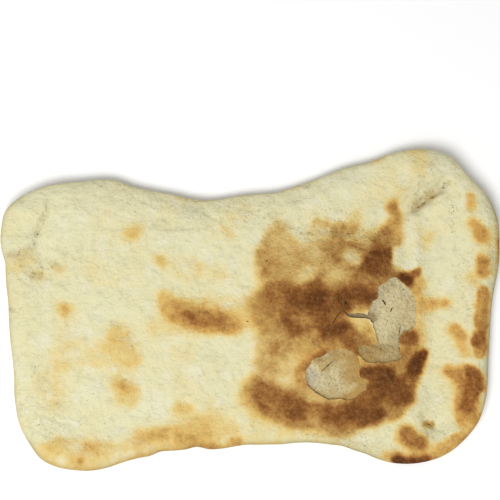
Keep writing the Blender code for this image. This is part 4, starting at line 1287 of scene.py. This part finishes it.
def browned_colour(shader, level, grain, fleck):
    """The baked colour, blotchy where the browning is strong and hazy where it is faint."""
    blotch = shader.noise(*BLOTCH)
    haze = shader.noise(*HAZE)
    uneven = shader.times(level, shader.math("SUBTRACT", STIR_END, level))
    stir = shader.plus(shader.around(blotch, BLOTCH_STIR), shader.around(fleck, FLECK_STIR))
    browned = shader.plus(
        level,
        shader.times(stir, uneven),
        shader.around(grain, GRAIN_STIR),
        shader.around(haze, HAZE_STIR),
        BROWNING_SHIFT,
    )
    crust = shader.ramp(browned, CRUST_COLOURS, MOST_BROWNING)
    warm = shader.times(shader.attribute("warm"), shader.patches(browned, *WARM_BROWNING))
    crust = shader.mix(warm, crust, (*WARMTH, 1), "MULTIPLY")
    dull = shader.times(shader.attribute("dull"), shader.patches(browned, *DULL_BROWNING))
    dull = shader.times(dull, shader.patches(browned, *DULL_END))
    return shader.mix(dull, crust, (*DULLNESS, 1), "MULTIPLY")


def scorched_colour(shader, level, crust):
    """Fine ash and scorching where the crust is brown."""
    scorched = shader.noise(*SCORCH)
    brown = shader.patches(level, *SCORCHED_BROWNING)
    ash = shader.times(shader.patches(scorched, *ASH_RANGE), ASH_SHARE)
    crust = shader.cover(crust, shader.times(ash, brown), ASH_COLOUR)
    scorch = shader.times(shader.patches(scorched, *SCORCH_RANGE), SCORCH_SHARE)
    return shader.cover(crust, shader.times(scorch, brown), SCORCH_COLOUR)


def floured_colour(shader, level, crust):
    """Flour and grey dust on the pale crust, painted shade in its fine wrinkles, and its dark specks."""
    pale = shader.patches(level, *PALE_BROWNING)
    flour = shader.patches(shader.noise(*FLOUR), *FLOUR_RANGE)
    crust = shader.cover(crust, shader.times(flour, pale), FLOUR_COLOUR, FLOUR_SHARE)
    dust = shader.patches(shader.noise(*DUST), *DUST_RANGE)
    crust = shader.cover(crust, shader.times(dust, pale), DUST_COLOUR, DUST_SHARE)
    # Painted shade in the fine wrinkles
    wrinkle_shade = shader.patches(shader.noise(*CRINKLE), *CRINKLE_RANGE)
    wrinkle_shade = shader.times(wrinkle_shade, shader.attribute("crinkle_shade"))
    crust = shader.cover(crust, wrinkle_shade, CRINKLE_SHADE_COLOUR, CRINKLE_SHADE_SHARE)
    return shader.cover(crust, shader.specks(SPECK_SPACING), SPECK_COLOUR, SPECK_SHARE)


def crumb_colour(shader, level, grain, fleck):
    """The bread inside the bursts, with its pores."""
    damp = shader.plus(level, shader.around(fleck, CRUMB_FLECK_STIR), shader.around(grain, CRUMB_GRAIN_STIR))
    pores = shader.patches(shader.noise(*PORES), *PORE_RANGE)
    return shader.cover(shader.ramp(damp, CRUMB_COLOURS), pores, PORE_COLOUR, PORE_SHARE)


def bump(shader, level, grain, fleck):
    """The finest relief, rougher where the crust is brown."""
    bumps = ((grain, GRAIN_BUMPS), (fleck, FLECK_BUMPS), (shader.noise(*PULLED), PULLED_BUMPS))
    height = shader.plus(*(shader.around(*bump_noise) for bump_noise in bumps))
    height = shader.times(height, shader.plus(1.0, shader.times(level, BROWN_BUMPS)))
    return shader.node("ShaderNodeBump", Strength=1.0, Distance=BUMP_HEIGHT, Height=height).outputs["Normal"]


def crust_material():
    shader = Shader("crust")
    level = shader.attribute("browning")
    grain = shader.noise(*GRAIN)
    fleck = shader.noise(*FLECK)
    crust = browned_colour(shader, level, grain, fleck)
    crust = scorched_colour(shader, level, crust)
    crust = floured_colour(shader, level, crust)
    # Painted shade on the rim's outer band, with the rim's duller tan
    crust = shader.cover(crust, shader.attribute("rim"), RIM_SHADE_AND_TAN_COLOUR)
    colour = shader.mix(shader.attribute("inner"), crust, crumb_colour(shader, level, grain, fleck))
    # Painted shade in creases, folds, slits and under the bursts' torn edges, with dark pits and specks
    colour = shader.cover(colour, shader.attribute("painted_shade_and_specks"), SHADE_AND_SPECK_COLOUR)
    shader.plug(shader.surface.inputs["Base Color"], colour)
    shader.plug(shader.surface.inputs["Normal"], bump(shader, level, grain, fleck))
    shader.surface.inputs["Roughness"].default_value = CRUST_ROUGHNESS
    shader.surface.inputs["Specular IOR Level"].default_value = CRUST_GLOSS
    return shader.material


def stage():
    bpy.ops.mesh.primitive_plane_add(size=FLOOR_SIZE)
    floor = bpy.context.object
    floor.name = "floor"
    material = bpy.data.materials.new("floor")
    material.use_nodes = True
    surface = material.node_tree.nodes["Principled BSDF"]
    surface.inputs["Base Color"].default_value = FLOOR_COLOUR
    surface.inputs["Roughness"].default_value = FLOOR_ROUGHNESS
    floor.data.materials.append(material)

    world = bpy.data.worlds.new("studio")
    world.use_nodes = True
    world.node_tree.nodes["Background"].inputs["Color"].default_value = (1, 1, 1, 1)
    world.node_tree.nodes["Background"].inputs["Strength"].default_value = SKY_STRENGTH
    bpy.context.scene.world = world

    light = bpy.data.lights.new("lamp", "AREA")
    light.size = LAMP_SIZE
    light.energy = LAMP_WATTS
    lamp = new_object("lamp", light)
    lamp.location = LAMP_PLACE
    lamp.rotation_euler = (-Vector(LAMP_PLACE)).to_track_quat("-Z", "Y").to_euler()

    camera = bpy.data.cameras.new("camera")
    camera.lens = CAMERA_LENS_MM
    camera.sensor_width = CAMERA_SENSOR_MM
    holder = new_object("camera", camera)
    distance = PHOTO_WIDTH * CAMERA_LENS_MM / CAMERA_SENSOR_MM
    holder.location = (*CAMERA_MIDDLE, SILHOUETTE_HEIGHT + distance)
    bpy.context.scene.camera = holder
    bpy.context.scene.view_settings.view_transform = "Standard"


def main():
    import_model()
    crust = Crust()
    bread = build_bread(crust)
    write_attributes(bread, crust)
    bread.data.materials.clear()
    bread.data.materials.append(crust_material())
    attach(bread, "root")
    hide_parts("shaobing")
    stage()


main()
